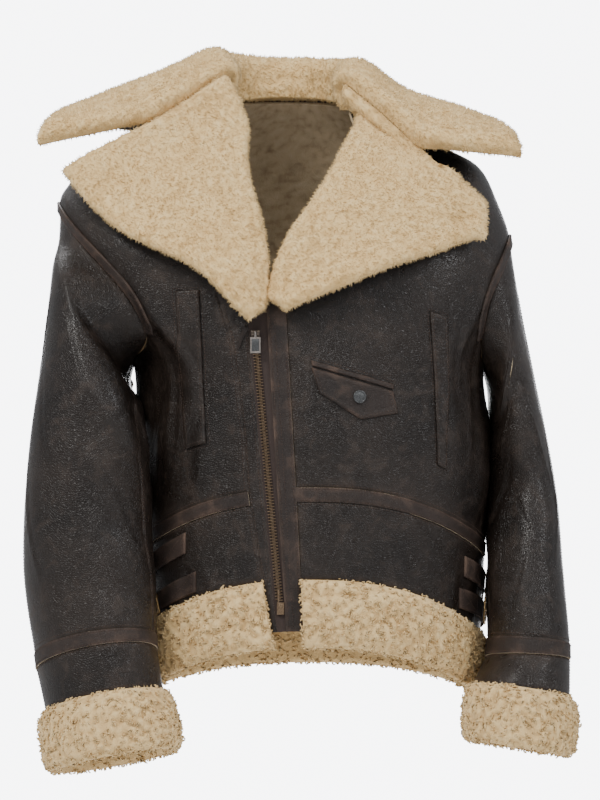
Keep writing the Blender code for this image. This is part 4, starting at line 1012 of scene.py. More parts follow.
def stitching():
    runs = []
    rows = np.linspace(5.6, 11.7, 220)
    for offset in (3.2, 8.6):
        runs.append(body_run(rows, angle_on_line(rows, beside(PLACKET_ZIP_LINE, offset)), 1.5))
    strip = np.linspace(5.0, 11.0, 220)
    for line, offset in ((SIDE_FRONT_LINE, 2.6), (SIDE_FRONT_LINE, -3.0), (STRIP_ZIP_LINE, -3.4)):
        runs.append(body_run(strip, angle_on_line(strip, beside(line, offset))))
    rows = np.linspace(6.6, 11.6, 200)
    runs.append(body_run(rows, angle_on_line(rows, beside(PLACKET_OUTER_LINE, -2.6)), 1.5))
    stitch_piece("front_edge_stitching", runs)

    runs = []
    for row, proud in ((9.1, TRIM_PROUD), (9.9, TRIM_PROUD), (8.93, 0.0), (10.05, 0.0)):
        for _, start, end, count in SECTIONS:
            first, last = start(np.array([row]))[0], end(np.array([row]))[0]
            runs.append(body_run(row, np.linspace(first + 0.8, last - 0.8, count * 3), proud))
    stitch_piece("waist_stitching", runs)

    runs = []
    for side in (-1, 1):
        rows = np.linspace(0.3, 4.95, 60)
        runs.append(body_run(rows, side * 90 + 1.0 * side))
        rows = np.linspace(7.1, 8.95, 60)
        for offset in (-1.1, 1.1):
            runs.append(body_run(rows, side * 90 + offset))
            runs.append(body_run(np.linspace(10.05, 10.95, 30), side * 90 + offset))
        turns = -ARM_BAND_REACH + 2 * ARM_BAND_REACH * np.linspace(0.01, 0.99, 220)
        for share in (0.2, 0.86):
            place = armhole_band_places(side, turns, np.array([[share]]))
            runs.append(body_run(place[0][:, 0], place[1][:, 0], ARM_BAND_LIFT + ARM_BAND_THICK))
    stitch_piece("side_and_armhole_stitching", runs)

    runs = []
    for side in (-1, 1):
        for share in (0.035, 1.965):
            row = np.linspace(1.2, 7.9, 260)
            row = row[(row < 5.95) | (row > 7.05)]
            runs.append(sleeve_frame(side, row, sleeve_turn(row, np.full_like(row, share))) + (0.05,))
        for row, proud in ((5.93, 0.0), (6.12, TRIM_PROUD), (6.88, TRIM_PROUD), (7.06, 0.0), (7.93, 0.0)):
            around = np.linspace(0, 2, 240)
            turn = sleeve_turn(np.full_like(around, row), around)
            runs.append(sleeve_frame(side, np.full_like(around, row), turn) + (proud,))
        share = np.full(90, 1.0)
        row = np.linspace(0.2, 5.9, 90)
        runs.append(sleeve_frame(side, row, sleeve_turn(row, share + 0.012)) + (0.05,))
    stitch_piece("sleeve_stitching", runs)

    runs = []
    for _, side, corners in WELTS:
        for u in (0.13, 0.87):
            place = front_quad(corners, np.array([u]), np.linspace(0.03, 0.97, 60))
            runs.append(body_run(place[0][:, 0], place[1][:, 0], WELT_LIFT[side] + WELT_SEWN))
        for v in (0.022, 0.978):
            place = front_quad(corners, np.linspace(0.13, 0.87, 9), np.array([v]))
            runs.append(body_run(place[0][0], place[1][0], WELT_LIFT[side] + WELT_SEWN))
        outline = through((corners[0], corners[1], corners[3], corners[2], corners[0]), 160)
        middle = np.mean(np.asarray(corners, float), axis=0)
        outline = middle + (outline - middle) * np.array((1.22, 1.03))
        runs.append(body_run(*place_on_front(outline[:, 0], outline[:, 1])))
    top, low = np.array(FLAP_TOP, float), np.array(FLAP_LOW, float)
    outline = through((top[0], low[0], low[1], low[2], top[1]), 130)
    middle = np.array((72.0, -330.0))
    path = middle + (outline - middle) * 0.90
    runs.append(body_run(*place_on_front(path[:, 0], path[:, 1]), LAY_GAP + FLAP_THICK - 0.3))
    path = through(((20, -296), (117, -324)), 60)
    runs.append(body_run(*place_on_front(path[:, 0], path[:, 1])))
    stitch_piece("pocket_stitching", runs)

    runs = []
    top = LAY_GAP + STRAP_THICK + 0.05
    for _, *route, _ in STRAPS:
        for across in (STRAP_SEWN, -STRAP_SEWN):
            along = np.linspace(BOX_START, 0.9, 40)
            runs.append(body_run(*strap_place(*route, along, across * np.ones(40)), top))
        for at in (BOX_START, BOX_END):
            across = np.linspace(STRAP_SEWN, -STRAP_SEWN, 12)
            runs.append(body_run(*strap_place(*route, np.full(12, at), across), top))
        part = np.linspace(0, 1, 12)
        for edge in (STRAP_SEWN, -STRAP_SEWN):
            along = BOX_START + BOX_LONG * part
            runs.append(body_run(*strap_place(*route, along, edge - 2 * edge * part), top))
    stitch_piece("strap_stitching", runs)


# ---------------------------------------------------------------- metal, modelled one by one
def begin(add_primitive, **settings):
    bpy.ops.object.select_all(action="DESELECT")
    add_primitive(**settings)
    return bpy.context.object


def cube(size, centre=(0, 0, 0)):
    piece = begin(bpy.ops.mesh.primitive_cube_add, size=1, location=Vector(centre) * MM)
    piece.scale = Vector(size) * MM
    bpy.ops.object.transform_apply(location=True, rotation=True, scale=True)
    return piece


def drum(radius, depth, centre=(0, 0, 0), sides=32, turn=(0, 0, 0)):
    piece = begin(bpy.ops.mesh.primitive_cylinder_add, vertices=sides, radius=radius * MM, depth=depth * MM,
                  location=Vector(centre) * MM, rotation=turn)
    bpy.ops.object.transform_apply(location=True, rotation=True, scale=True)
    return piece


def choose(piece, test, kind="FACE"):
    """Select the faces or edges that a test picks, in edit mode."""
    bpy.ops.object.mode_set(mode="EDIT")
    bpy.ops.mesh.select_mode(type=kind)
    bpy.ops.mesh.select_all(action="DESELECT")
    mesh = bmesh.from_edit_mesh(piece.data)
    for item in (mesh.faces if kind == "FACE" else mesh.edges):
        item.select_set(bool(test(item)))
    mesh.select_flush_mode()
    bmesh.update_edit_mesh(piece.data)


def done_editing():
    bpy.ops.object.mode_set(mode="OBJECT")


def facing(axis, sign=1):
    return lambda face: face.normal[axis] * sign > 0.9


def push_in(piece, test, inset, depth, direction):
    choose(piece, test)
    bpy.ops.mesh.inset(thickness=inset * MM, depth=0)
    bpy.ops.mesh.extrude_region_move(TRANSFORM_OT_translate={"value": Vector(direction) * depth * MM})
    done_editing()


def soften(piece, width, segments=2, flat=False):
    """Bevel the sharp edges of a hard piece; a flat one keeps its broad faces plain."""
    bpy.ops.object.select_all(action="DESELECT")
    piece.select_set(True)
    bpy.context.view_layer.objects.active = piece
    edge = piece.modifiers.new("soft edges", "BEVEL")
    edge.width, edge.segments, edge.limit_method = width * MM, segments, "ANGLE"
    edge.angle_limit = math.radians(30)
    bpy.ops.object.modifier_apply(modifier=edge.name)
    bpy.ops.object.shade_smooth_by_angle(angle=math.radians(8 if flat else 35))


def join(pieces):
    bpy.ops.object.select_all(action="DESELECT")
    for piece in pieces:
        piece.select_set(True)
    bpy.context.view_layer.objects.active = pieces[0]
    bpy.ops.object.join()
    return pieces[0]


def settle(piece, name, finish, nodes, body=JACKET, place=None):
    """Name a hard piece, carry it to its place and leave that place in its mesh."""
    if place is not None:
        piece.matrix_world = place
        bpy.ops.object.select_all(action="DESELECT")
        piece.select_set(True)
        bpy.context.view_layer.objects.active = piece
        bpy.ops.object.transform_apply(location=True, rotation=True, scale=True)
    piece.name = name
    piece.data.materials.clear()
    piece.data.materials.append(FINISHES[finish])
    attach(piece, body)
    if nodes:
        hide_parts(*nodes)
    return piece


def stood_on(spot, normal, ahead):
    """Matrix that lays a flat piece's z on the normal and its x along ahead."""
    out, along = Vector(normal).normalized(), Vector(ahead).normalized()
    side = out.cross(along).normalized()
    along = side.cross(out).normalized()
    turn = Matrix((along, side, out)).transposed().to_4x4()
    return Matrix.Translation(Vector(spot) * MM) @ turn


def buckle(name, spot, normal, ahead):
    """Rectangular frame with a rolled bar and its prong; fastened."""
    wide, long, bar, thick = 31.0, 21.0, 3.0, BUCKLE_THICK
    ring = cube((long, wide, thick))
    choose(ring, lambda face: abs(face.normal.z) > 0.9)
    bpy.ops.mesh.inset(thickness=bar * MM, depth=0)
    bpy.ops.mesh.bridge_edge_loops()
    done_editing()
    choose(ring, lambda edge: abs(edge.verts[0].co.z - edge.verts[1].co.z) > 1e-4, "EDGE")
    bpy.ops.mesh.bevel(offset=2.4 * MM, segments=3)
    done_editing()
    soften(ring, 0.8, 3)
    roll = drum(1.7, wide - 8, (long / 2 - bar / 2, 0, 0.1), 20, (math.radians(90), 0, 0))
    soften(roll, 0.4, 2)
    prong = drum(0.95, long - 2.5, (0, 0, 1.35), 12, (0, math.radians(90), 0))
    choose(prong, lambda face: face.normal.x > 0.9)
    bpy.ops.transform.resize(value=(1, 0.45, 0.45))
    done_editing()
    soften(prong, 0.25, 2)
    whole = join([ring, roll, prong])
    settle(whole, "buckle_" + name + "_brass", "buckle_brass", ["buckle_" + name], JACKET,
           stood_on(spot, normal, ahead))


def snap():
    point, normal = body_frame(*[np.array(v) for v in place_on_front(*SNAP_PLACE)])
    cap = drum(7.3, 2.0, (0, 0, 0), 40)
    push_in(cap, facing(2), 1.3, -0.55, (0, 0, 1))
    choose(cap, lambda face: face.normal.z > 0.9 and face.calc_center_median().xy.length < 0.5 * MM)
    bpy.ops.mesh.inset(thickness=2.2 * MM, depth=0.5 * MM)
    bpy.ops.mesh.inset(thickness=1.6 * MM, depth=0.25 * MM)
    done_editing()
    soften(cap, 0.35, 3)
    seat = np.asarray(point) + np.asarray(normal) * (LAY_GAP + FLAP_THICK + 1.3)
    settle(cap, "pocket_snap_cap", "snap_metal", ["pocket_snap"], JACKET,
           stood_on(seat, normal, (1, 0, 0)))


ZIP_LINKS = 82
SLIDER_Z = -277.0
SLIDER_WIDE, SLIDER_LONG, SLIDER_DEEP = 10.6, 22, 6.0
TAB_LENGTH, TAB_WIDTH, TAB_THICK = 23.0, 12.0, 2.0
LUG_WIDE, LUG_SPACE = 2.4, 3.4


def zip_chain():
    """Two rows of cast teeth that close between each other, each with a small head."""
    tooth = np.array([(x, y, z) for x in (-4.2, 1.1) for y in (-0.95, 0.95) for z in (-0.5, 0.5)]
                     + [(1.7, y, z) for y in (-0.5, 0.5) for z in (-0.62, 0.62)], float)
    quads = np.array(((0, 1, 3, 2), (0, 4, 5, 1), (2, 3, 7, 6), (1, 5, 7, 3), (0, 2, 6, 4), (4, 8, 9, 5),
                      (6, 7, 11, 10), (5, 9, 11, 7), (4, 6, 10, 8), (8, 10, 11, 9)))
    points, faces = [], []
    z = np.linspace(-293, -572, 2 * ZIP_LINKS)
    point, normal = body_frame(*place_on_front(zip_x(z), z))
    for number in range(2 * ZIP_LINKS):
        hand = 1 if number % 2 else -1
        out = normal[number]
        ahead = unit(np.array((ZIP_SLOPE, 0, 1.0)) - out * np.dot((ZIP_SLOPE, 0, 1.0), out))
        side = np.cross(out, ahead) * hand
        base = point[number] + out * 0.15
        points.append(base + side * tooth[:, :1] + out * tooth[:, 1:2] + ahead * tooth[:, 2:3])
        turn = quads if hand > 0 else quads[:, ::-1]
        faces.append(turn + len(tooth) * number)
    piece = mesh_piece("zip_teeth", np.concatenate(points), np.concatenate(faces), ("brass",), smooth_to=30)
    mesh = bmesh.new()
    mesh.from_mesh(piece.data)
    bmesh.ops.recalc_face_normals(mesh, faces=mesh.faces)
    mesh.to_mesh(piece.data)
    mesh.free()
    on_jacket(piece, "brass", "zip_chain")


def narrow_foot(plate):
    """Draw in the lower end of one of the slider's two plates."""
    choose(plate, lambda face: face.normal.z < -0.9)
    bpy.ops.transform.resize(value=(0.66, 1, 1))
    done_editing()


def zip_hardware():
    low, high = [Vector(corner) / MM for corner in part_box("zip_slider")]
    x, face_y = (low.x + high.x) / 2, low.y
    middle_y = (low.y + high.y) / 2
    shell_front = cube((SLIDER_WIDE, 2.0, SLIDER_LONG), (x, face_y + 1.0, SLIDER_Z))
    push_in(shell_front, facing(1, -1), 1.6, 0.5, (0, 1, 0))
    narrow_foot(shell_front)
    soften(shell_front, 0.6, 3, flat=True)
    shell_back = cube((SLIDER_WIDE, 1.6, SLIDER_LONG), (x, high.y - 1.0, SLIDER_Z))
    narrow_foot(shell_back)
    soften(shell_back, 0.5, 2)
    neck = cube((3.4, SLIDER_DEEP - 2, 7), (x, middle_y, SLIDER_Z + 6))
    soften(neck, 0.6, 2)
    pivot_z = SLIDER_Z + 8
    pieces = [shell_front, shell_back, neck]
    for side in (-1, 1):
        lug = cube((LUG_WIDE, 4.4, 5.8), (x + side * (LUG_SPACE + LUG_WIDE) / 2, face_y - 2.4, pivot_z))
        choose(lug, lambda edge: all(v.co.y < (face_y - 4) * MM for v in edge.verts)
               and abs(edge.verts[0].co.x - edge.verts[1].co.x) > 1e-4, "EDGE")
        bpy.ops.mesh.bevel(offset=1.7 * MM, segments=4)
        done_editing()
        soften(lug, 0.3, 2)
        pieces.append(lug)
    settle(join(pieces), "zip_slider_body", "slider_brass",
           ["zip_slider", "zip_lug_left", "zip_lug_right"])

    low, high = [Vector(corner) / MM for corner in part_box("zip_pull_tab")]
    tab_y, top = (low.y + high.y) / 2, high.z
    plate_long = TAB_LENGTH - 5.0
    plate = cube((TAB_WIDTH, TAB_THICK, plate_long), (x, tab_y, low.z + plate_long / 2))
    choose(plate, lambda face: abs(face.normal.y) > 0.9)
    bpy.ops.mesh.inset(thickness=2.0 * MM, depth=0)
    bpy.ops.mesh.bridge_edge_loops()
    done_editing()
    soften(plate, 0.45, 3)
    ridge = cube((2.6, TAB_THICK - 0.3, top - low.z - plate_long + 1.5),
                 (x, tab_y, (top + low.z + plate_long - 1.5) / 2))
    soften(ridge, 0.6, 3)
    settle(join([plate, ridge]), "zip_pull_tab_plate", "dark_nickel", ["zip_pull_tab"],
           PULL_TAB)
    centre = cube((TAB_WIDTH - 3.4, TAB_THICK * 0.45, plate_long - 3.4), (x, tab_y, low.z + plate_long / 2))
    soften(centre, 0.2, 2)
    settle(centre, "zip_pull_tab_centre", "snap_metal", [], PULL_TAB)

    low, high = [Vector(corner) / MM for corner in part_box("zip_box")]
    middle = (low + high) / 2
    size = high - low
    stop = cube((size.x * 0.92, size.y * 0.8, size.z * 0.98), middle)
    push_in(stop, facing(1, -1), 1.2, 0.4, (0, 1, 0))
    soften(stop, 0.6, 3)
    pin = cube((1.8, 1.8, 16), (middle.x - 2.4, middle.y + 0.2, middle.z + 13))
    soften(pin, 0.5, 2)
    settle(join([stop, pin]), "zip_bottom_box", "brass", ["zip_box"])


def thong():
    """Flat cut strip tied on the slider's back, hanging to its free ends."""
    spots = through(((-51.5, -263), (-56, -272), (-61.5, -287)), 26)
    width = 2.4 - 1.0 * np.linspace(0, 1, 26) ** 2 + 0.3 * np.sin(np.linspace(0, 9, 26))
    side = np.linspace(-1, 1, 5)[None, :]
    x = spots[:, :1] + side * width[:, None] * 0.9
    z = spots[:, 1:] + side * width[:, None] * -0.42
    point, normal = body_frame(*place_on_front(x, z))
    piece = shell("zip_thong_strip", point + normal * 2.1, point + normal * 0.7,
                  ("under_collar", "under_collar"), attributes={"wear_and_painted_shade": (0.1, 0.1)})
    on_jacket(piece, "trim_leather", "zip_thong")


# ---------------------------------------------------------------- wool: turned hem and cuffs, collar, lapels
RIM_ROLL = 5.0
# finish: height and size of its locks, how far they fade in from the edges, and finish of its back
WOOLS = {"curly": (3.4, 7.5, 3.0, "curly"), "plush": (1.3, 9.0, 2.0, "under_collar")}


def rim(distance, radius):
    """Share of the wool's height near an edge: it rises in a quarter round over radius."""
    inside = np.clip(distance / radius, 0, 1)
    return np.sqrt(1 - (1 - inside) ** 2) * 0.85 + 0.15


def locks(point, normal, height, size, seed):
    """Move points out and in so the wool stands in soft locks; also returns how high each stands, which the
    wool colour turns into painted shade in the hollows.
    """
    dome = domes_at(point, size, seed)
    swell = noise_at(point, size * 3.2, seed + 4)
    fine = noise_at(point, size * 0.45, seed + 9)
    rise = height * (dome - 0.55) + height * 0.5 * swell + height * 0.18 * fine
    return point + normal * rise[..., None], np.clip(0.15 + 0.75 * dome + 0.2 * swell, 0, 1)


def grid_normals(grid):
    return unit(np.cross(np.gradient(grid, axis=0), np.gradient(grid, axis=1)))


def wool_slab(node, outer, inner, normal, finish, seed, tube=False):
    """A thick closed piece: wool over the outer grid, its own backing under the inner one."""
    height, size, fade, back = WOOLS[finish]
    point, tip = locks(outer, normal, height, size, seed)
    keep = np.clip(edge_distance(inner, tube) / fade, 0.25, 1)[..., None]
    point = outer + (point - outer) * keep
    # tip paints shade: low spots on the wool's face darker, and the inside face a fixed low tip value, a
    # darker tone
    piece = shell(node + "_wool", point, inner, (finish, back), tube,
                  {"tip": (tip * 0.8, 0.3), "wear_and_painted_shade": (0.0, 0.25)}, None, edge_finish=0)
    return on_jacket(piece, "wool", node)


def turned_out(node, grid, profile, rows, seed, tube=False):
    """Curly wool turned out: profile gives, row by row, how far out its two faces lie."""
    point, normal = grid
    table = np.asarray(profile, float)
    outer, inner = [point + normal * np.interp(rows, table[:, 0], table[:, k])[:, None, None] for k in (1, 2)]
    return wool_slab(node, outer, inner, normal, "curly", seed, tube)


def round_rows(first, last, count):
    """Rows closer together at both ends, where the wool turns over."""
    turn = np.linspace(0, np.pi, count)
    even = np.linspace(0, 1, count)
    return first + (last - first) * (0.5 * (0.5 - 0.5 * np.cos(turn)) + 0.5 * even)


def hem_wool():
    made = []
    rows = round_rows(HEM_TOP - 0.005, HEM, 32)
    for part, start, end, _ in SECTIONS:
        count, seed = (256, 6.0) if part == "back" else (116, 4.3)
        grid = body_frame(*body_grid(rows, start, end, np.linspace(0, 1, count)))
        made.append(turned_out("hem_" + part, grid, HEM_PROFILE, rows, seed))
    return made


def cuff_wool():
    made = []
    rows = round_rows(CUFF_TOP - 0.01, CUFF_END, 30)
    for side, hand in SIDES:
        row, share = np.broadcast_arrays(rows[:, None], np.linspace(0, 2, 151)[:-1][None, :])
        grid = sleeve_frame(side, row, sleeve_turn(row, share))
        made.append(turned_out("cuff_" + hand, grid, CUFF_PROFILE, rows, 11.0 + side, True))
    return made


def gorge_line(side, tip):
    near, middle, notch = [np.array(point, float) for point in GORGE[side]]
    half = GORGE_COLUMNS // 2
    free = FALL_COLUMNS - GORGE_COLUMNS
    line = [near + (middle - near) * step / half for step in range(half)]
    line += [middle + (notch - middle) * step / half for step in range(half)]
    return line + [notch + (np.array(tip) - notch) * step / free for step in range(free + 1)]


def roll_at(grid, axis, last, radius, width):
    """Shift and thinning that take wool round one border of a skin; width is how far it passes it."""
    run = np.moveaxis(grid, axis, 0)
    run = run[::-1] if last else run
    steps = np.linalg.norm(np.diff(run, axis=0), axis=-1)
    away = np.concatenate([np.zeros((1, run.shape[1])), np.cumsum(steps, axis=0)])
    outward = unit(run[0] - run[2])[None]
    radius = np.broadcast_to(radius, (1, run.shape[1]))
    width = np.broadcast_to(width, (1, run.shape[1]))
    turn = np.clip(1 - away / radius, 0, 1) * math.radians(150)
    reach = np.where(turn < math.pi / 2, -radius + (radius + width) * np.sin(turn), width * np.sin(turn))
    shift = outward * np.where(away < radius, reach + away, 0)[..., None]
    thin = 0.5 + 0.5 * np.cos(turn)
    if last:
        shift, thin = shift[::-1], thin[::-1]
    return np.moveaxis(shift, 0, axis), np.moveaxis(thin, 0, axis)


def turned_wool(node, leather, height, seed, borders, out=1):
    """Wool on a turned leather skin, rolled round each free border: axis, last, radius and width."""
    normal = grid_normals(leather) * out
    outer = leather.copy()
    for axis, last, radius, width in borders:
        shift, thin = roll_at(leather, axis, last, radius, width)
        outer += shift
        height = height * thin
    outer += normal * height[..., None]
    return wool_slab(node, outer, leather, grid_normals(outer) * out, "plush", seed)


def closer_at_ends(last, count):
    """Places from 0 to last, closer together at both ends, where wool turns over."""
    even = np.linspace(0, 1, count)
    return last * (even - 0.62 * np.sin(2 * np.pi * even) / (2 * np.pi))


def resampled(grid, rows, columns):
    """A smooth skin through a coarse grid, at other rows and columns."""
    grid = np.asarray(grid, float)
    along = spline(grid.transpose(1, 0, 2).reshape(grid.shape[1], -1), columns)
    along = along.reshape(len(columns), grid.shape[0], -1).transpose(1, 0, 2)
    return spline(along.reshape(grid.shape[0], -1), rows).reshape(len(rows), len(columns), -1)


def collar_wool():
    ends = []
    for side in (-1, 1):
        fall = gorge_line(side, COLLAR_TIP[side])
        foot = body_form(np.array(0.0), np.array(side * COLLAR_FRONT_ANGLE)) + np.array((0, 0, COLLAR_FOOT))
        crest = fall[0] + np.array((-side * 2, 7, -2))
        ends.append([foot, foot + (crest - foot) * 0.6, crest] + fall)
    stations, wools = [ends[0]], [COLLAR_TIP_WOOL]
    for angle, cx, cy, cz, mx, my, mz, ex, ey, ez, wool in COLLAR_STATIONS:
        foot = body_form(np.array(0.0), np.array(float(angle))) + np.array((0, 0, COLLAR_FOOT))
        crest, mid, edge = [np.array(p, float) for p in ((cx, cy, cz), (mx, my, mz), (ex, ey, ez))]
        outward = (mid - crest) * np.array((1, 1, 0))
        near = crest + unit(outward) * CREST_WIDTH
        fall = spline([near, mid, mid + (edge - mid) * 0.5, edge], np.linspace(0, 3, FALL_COLUMNS + 1))
        stations.append([foot, foot + (crest - foot) * 0.6, crest] + list(fall))
        wools.append(wool)
    stations.append(ends[1])
    wools.append(COLLAR_TIP_WOOL)
    at = closer_at_ends(len(stations) - 1, 290)
    j = closer_at_ends(STAND_COLUMNS + FALL_COLUMNS, 76)
    leather = resampled(np.array(stations), at, j)
    edge_wool = spline(np.array(wools, float)[:, None], at)[:, 0]
    height = COLLAR_WOOL + (edge_wool[:, None] - COLLAR_WOOL) * j / j.max()
    height = height * rim(j[None, :] + 0.6, 1.5)
    sewn = STAND_COLUMNS + GORGE_COLUMNS
    end_roll = np.interp(j, (0, sewn, sewn + 1.5, j.max()), (1.0, 1.5, RIM_ROLL, RIM_ROLL))
    end_radius = np.interp(j, (0, STAND_COLUMNS, sewn, j.max()), (6.0, 8.0, 9.0, 13.0))
    borders = ((1, True, 0.55 * edge_wool, RIM_ROLL), (0, False, end_radius, end_roll),
               (0, True, end_radius, end_roll))
    return turned_wool("collar", leather, height, 21.0, borders)


def lapel_wool():
    made = []
    for side, hand in SIDES:
        rows = [[point + GORGE_DOWN * 0.6 for point in gorge_line(side, LAPEL_TIP[side])]]
        for roll_x, roll_z, edge_x, edge_z, edge_y in LAPEL_ROWS[side]:
            roll = body_form(*place_on_front(np.array(float(roll_x)), np.array(float(roll_z))))
            start = np.array((roll_x, roll[1] - LAPEL_GAP, roll_z))
            end = np.array((edge_x, edge_y, edge_z), float)
            rows.append([start + (end - start) * step / FALL_COLUMNS for step in range(FALL_COLUMNS + 1)])
        count = len(rows) - 1
        steps = int(1.5 * count)
        coarse = spline(np.array(rows).reshape(count + 1, -1), np.linspace(0, count, steps + 1))
        coarse = coarse.reshape(steps + 1, FALL_COLUMNS + 1, 3)
        row, angle = place_on_front(coarse[..., 0], coarse[..., 2])
        front = body_form(row, angle)[..., 1]
        front = np.where((np.abs(angle) > 86) | (row < 0.01), 500.0, front)
        stand_off = LAPEL_GAP + LAPEL_STAND_OFF * (np.arange(FALL_COLUMNS + 1) / FALL_COLUMNS) ** 2
        coarse[1:, :, 1] = np.minimum(coarse[..., 1], front - stand_off)[1:]
        j = closer_at_ends(FALL_COLUMNS, 70)
        leather = resampled(coarse, closer_at_ends(steps, 124), j)
        across = np.linalg.norm(leather[:, -1] - leather[:, 0], axis=-1)
        radius = np.minimum(0.55 * LAPEL_WOOL, 0.42 * across)
        height = np.minimum(LAPEL_WOOL, 0.8 * across)[:, None] * np.ones(leather.shape[:2])
        sewn = GORGE_COLUMNS
        top_roll = np.interp(j, (0, sewn, sewn + 1.5, FALL_COLUMNS), (1.0, 1.5, RIM_ROLL, RIM_ROLL))
        borders = ((1, True, radius, RIM_ROLL), (1, False, radius, 2.0), (0, False, 8.0, top_roll),
                   (0, True, 5.0, 2.0))
        made.append(turned_wool("lapel_" + hand, leather, height, 31.0 + side, borders, side))
    return made


# ---------------------------------------------------------------- pile: thousands of small tufts
# of each kind: tufts for a square millimetre, their length and half their width, in mm
CURLS, TUFTS = (0.041, 5.2, 1.45), (0.17, 3.6, 0.8)
CURL_SECTIONS = 3
# turns of a three-sided tuft's corners
CORNERS = (0.0, 2.0944, 4.1888)


def values_of(items, key, width=1, kind=np.float32):
    """One value, or one row of values, for each of a mesh's items."""
    values = np.zeros(len(items) * width, kind)
    items.foreach_get(key, values)
    return values.reshape(-1, width) if width > 1 else values


def scattered(piece, share, seed):
    """Random points over the wool faces of a slab: place, normal and lock height, the tip value that paints
    shade.
    """
    data = piece.data
    data.calc_loop_triangles()
    rng = np.random.default_rng(seed)
    corner = values_of(data.loop_triangles, "vertices", 3, np.int32)
    of_face = values_of(data.loop_triangles, "polygon_index", 1, np.int32)
    finish = values_of(data.polygons, "material_index", 1, np.int32)
    points = values_of(data.vertices, "co", 3) / MM
    normals = values_of(data.vertices, "normal", 3)
    tip_shading = values_of(data.attributes["tip"].data, "value")
    wool = finish[of_face] == 0
    if data.materials[1] == data.materials[0]:
        wool[:] = True
    corner = corner[wool]
    a, b, c = [points[corner[:, k]] for k in range(3)]
    area = np.linalg.norm(np.cross(b - a, c - a), axis=-1) / 2
    count = int(area.sum() * share)
    pick = rng.choice(len(corner), count, p=area / area.sum())
    u, v = rng.random(count), rng.random(count)
    flip = u + v > 1
    u, v = np.where(flip, 1 - u, u)[:, None], np.where(flip, 1 - v, v)[:, None]
    spot = a[pick] * (1 - u - v) + b[pick] * u + c[pick] * v
    a, b, c = [normals[corner[pick, k]] for k in range(3)]
    return spot, unit(a * (1 - u - v) + b * u + c * v), tip_shading[corner[pick, 0]], rng


def tangents(out, rng):
    """Two directions along the skin for each tuft, at a random turn."""
    free = rng.normal(size=out.shape)
    side = unit(free - out * np.sum(free * out, -1, keepdims=True))
    return side, np.cross(out, side)


def pile_piece(piece, ending, points, faces, finish, tip):
    """The tufts of one wool piece, which ride with it."""
    # tip here sets each tuft's painted shade, darker at the roots and paler at the tips
    wear_and_painted_shade = {"tip": np.clip(tip, 0, 1)}
    on_jacket(mesh_piece(piece.name + ending, points, faces, (finish,), None, wear_and_painted_shade, None), "wool")


def plush_pile(piece, seed):
    """Short straight tufts that lean with the comb of the wool."""
    share, length, width = TUFTS
    spot, out, height, rng = scattered(piece, share, seed)
    side, other = tangents(out, rng)
    count = len(spot)
    comb = np.stack([noise_at(spot, 60.0, seed + k) for k in range(3)], -1) * 0.7 + np.array((0, 0, -0.35))
    lean = comb + side * rng.uniform(0.1, 0.6, (count, 1))
    tall = length * rng.uniform(0.6, 1.25, (count, 1))
    wide = width * rng.uniform(0.75, 1.2, (count, 1))
    base = [spot - out * 0.6 + (side * math.cos(turn) + other * math.sin(turn)) * wide
            for turn in CORNERS]
    top = spot + unit(out + lean * 0.9) * tall
    points = np.stack(base + [top], 1).reshape(-1, 3)
    faces = np.array(((0, 1, 3), (1, 2, 3), (2, 0, 3)))[None] + 4 * np.arange(count)[:, None, None]
    shade = rng.uniform(0.88, 1.08, count)
    # painted shade: a tuft's three base corners take half the lock's tip value, darker, and its apex a paler
    # value times a random tone
    tip = np.stack([height * 0.5, height * 0.5, height * 0.5, (0.5 + 0.5 * height) * shade], 1).ravel()
    pile_piece(piece, "_pile", points, faces.reshape(-1, 3), "plush", tip)


def curly_pile(piece, seed):
    """Curls: three-sided tubes that rise, bend over and taper."""
    share, length, width = CURLS
    spot, out, height, rng = scattered(piece, share, seed)
    side, other = tangents(out, rng)
    count = len(spot)
    bend = rng.uniform(math.radians(120), math.radians(260), (count, 1))
    twist = rng.uniform(-0.5, 0.5, (count, 1))
    step = length * rng.uniform(0.7, 1.25, (count, 1)) / CURL_SECTIONS
    centre = spot - out * 0.8
    rings, tip_shading = [], []
    for level in range(CURL_SECTIONS + 1):
        part = level / CURL_SECTIONS
        turn = bend * part
        ahead = out * np.cos(turn) + (side + other * twist * part) * np.sin(turn)
        across = unit(np.cross(ahead, other + side * 0.2))
        round_to = np.cross(ahead, across)
        radius = width * (1.0 - 0.55 * part ** 2)
        for corner in CORNERS:
            rings.append(centre + (across * math.cos(corner) + round_to * math.sin(corner)) * radius)
            # painted shade: a curl is darkest at its root and paler as it rises
            tip_shading.append(height * 0.5 + (0.3 + 0.25 * height) * math.sin(math.pi * min(part, 0.75)))
        centre = centre + ahead * step
    points = np.stack(rings, 1).reshape(-1, 3)
    curl = []
    for low in range(0, 3 * CURL_SECTIONS, 3):
        high = low + 3
        for k, n in ((0, 1), (1, 2), (2, 0)):
            curl += [(low + k, low + n, high + n), (low + k, high + n, high + k)]
    end = 3 * CURL_SECTIONS
    curl.append((end, end + 1, end + 2))
    faces = np.array(curl)[None] + len(rings) * np.arange(count)[:, None, None]
    pile_piece(piece, "_curls", points, faces.reshape(-1, 3), "curly", np.stack(tip_shading, 1).ravel())


# ---------------------------------------------------------------- stage and camera
STUDIO_MIDDLE = (0.0, 0.0, -0.35)
# name, place, width and height, watts and colour; each lamp faces the middle
LAMPS = (
    ("key_light", (-1.7, -2.1, 2.1), (1.2, 1.2), 92, (1.0, 0.98, 0.95)),
    ("fill_light", (2.5, -1.8, 1.5), (1.2, 1.4), 54, (0.97, 0.98, 1.0)),
    ("front_light", (0.1, -3.4, 1.6), (2.2, 1.0), 16, (1.0, 1.0, 1.0)),
    ("back_light", (-0.8, 3.6, 2.6), (2.6, 1.6), 110, (1.0, 1.0, 1.0)),
)
# the camera: what it faces, its distance, the height it sees there and the side of its sensor in mm
CAMERA_AIM = (0.00918, -0.08, -0.345)
CAMERA_AWAY, CAMERA_SEES, SENSOR = 5.0, 0.92, 36.0


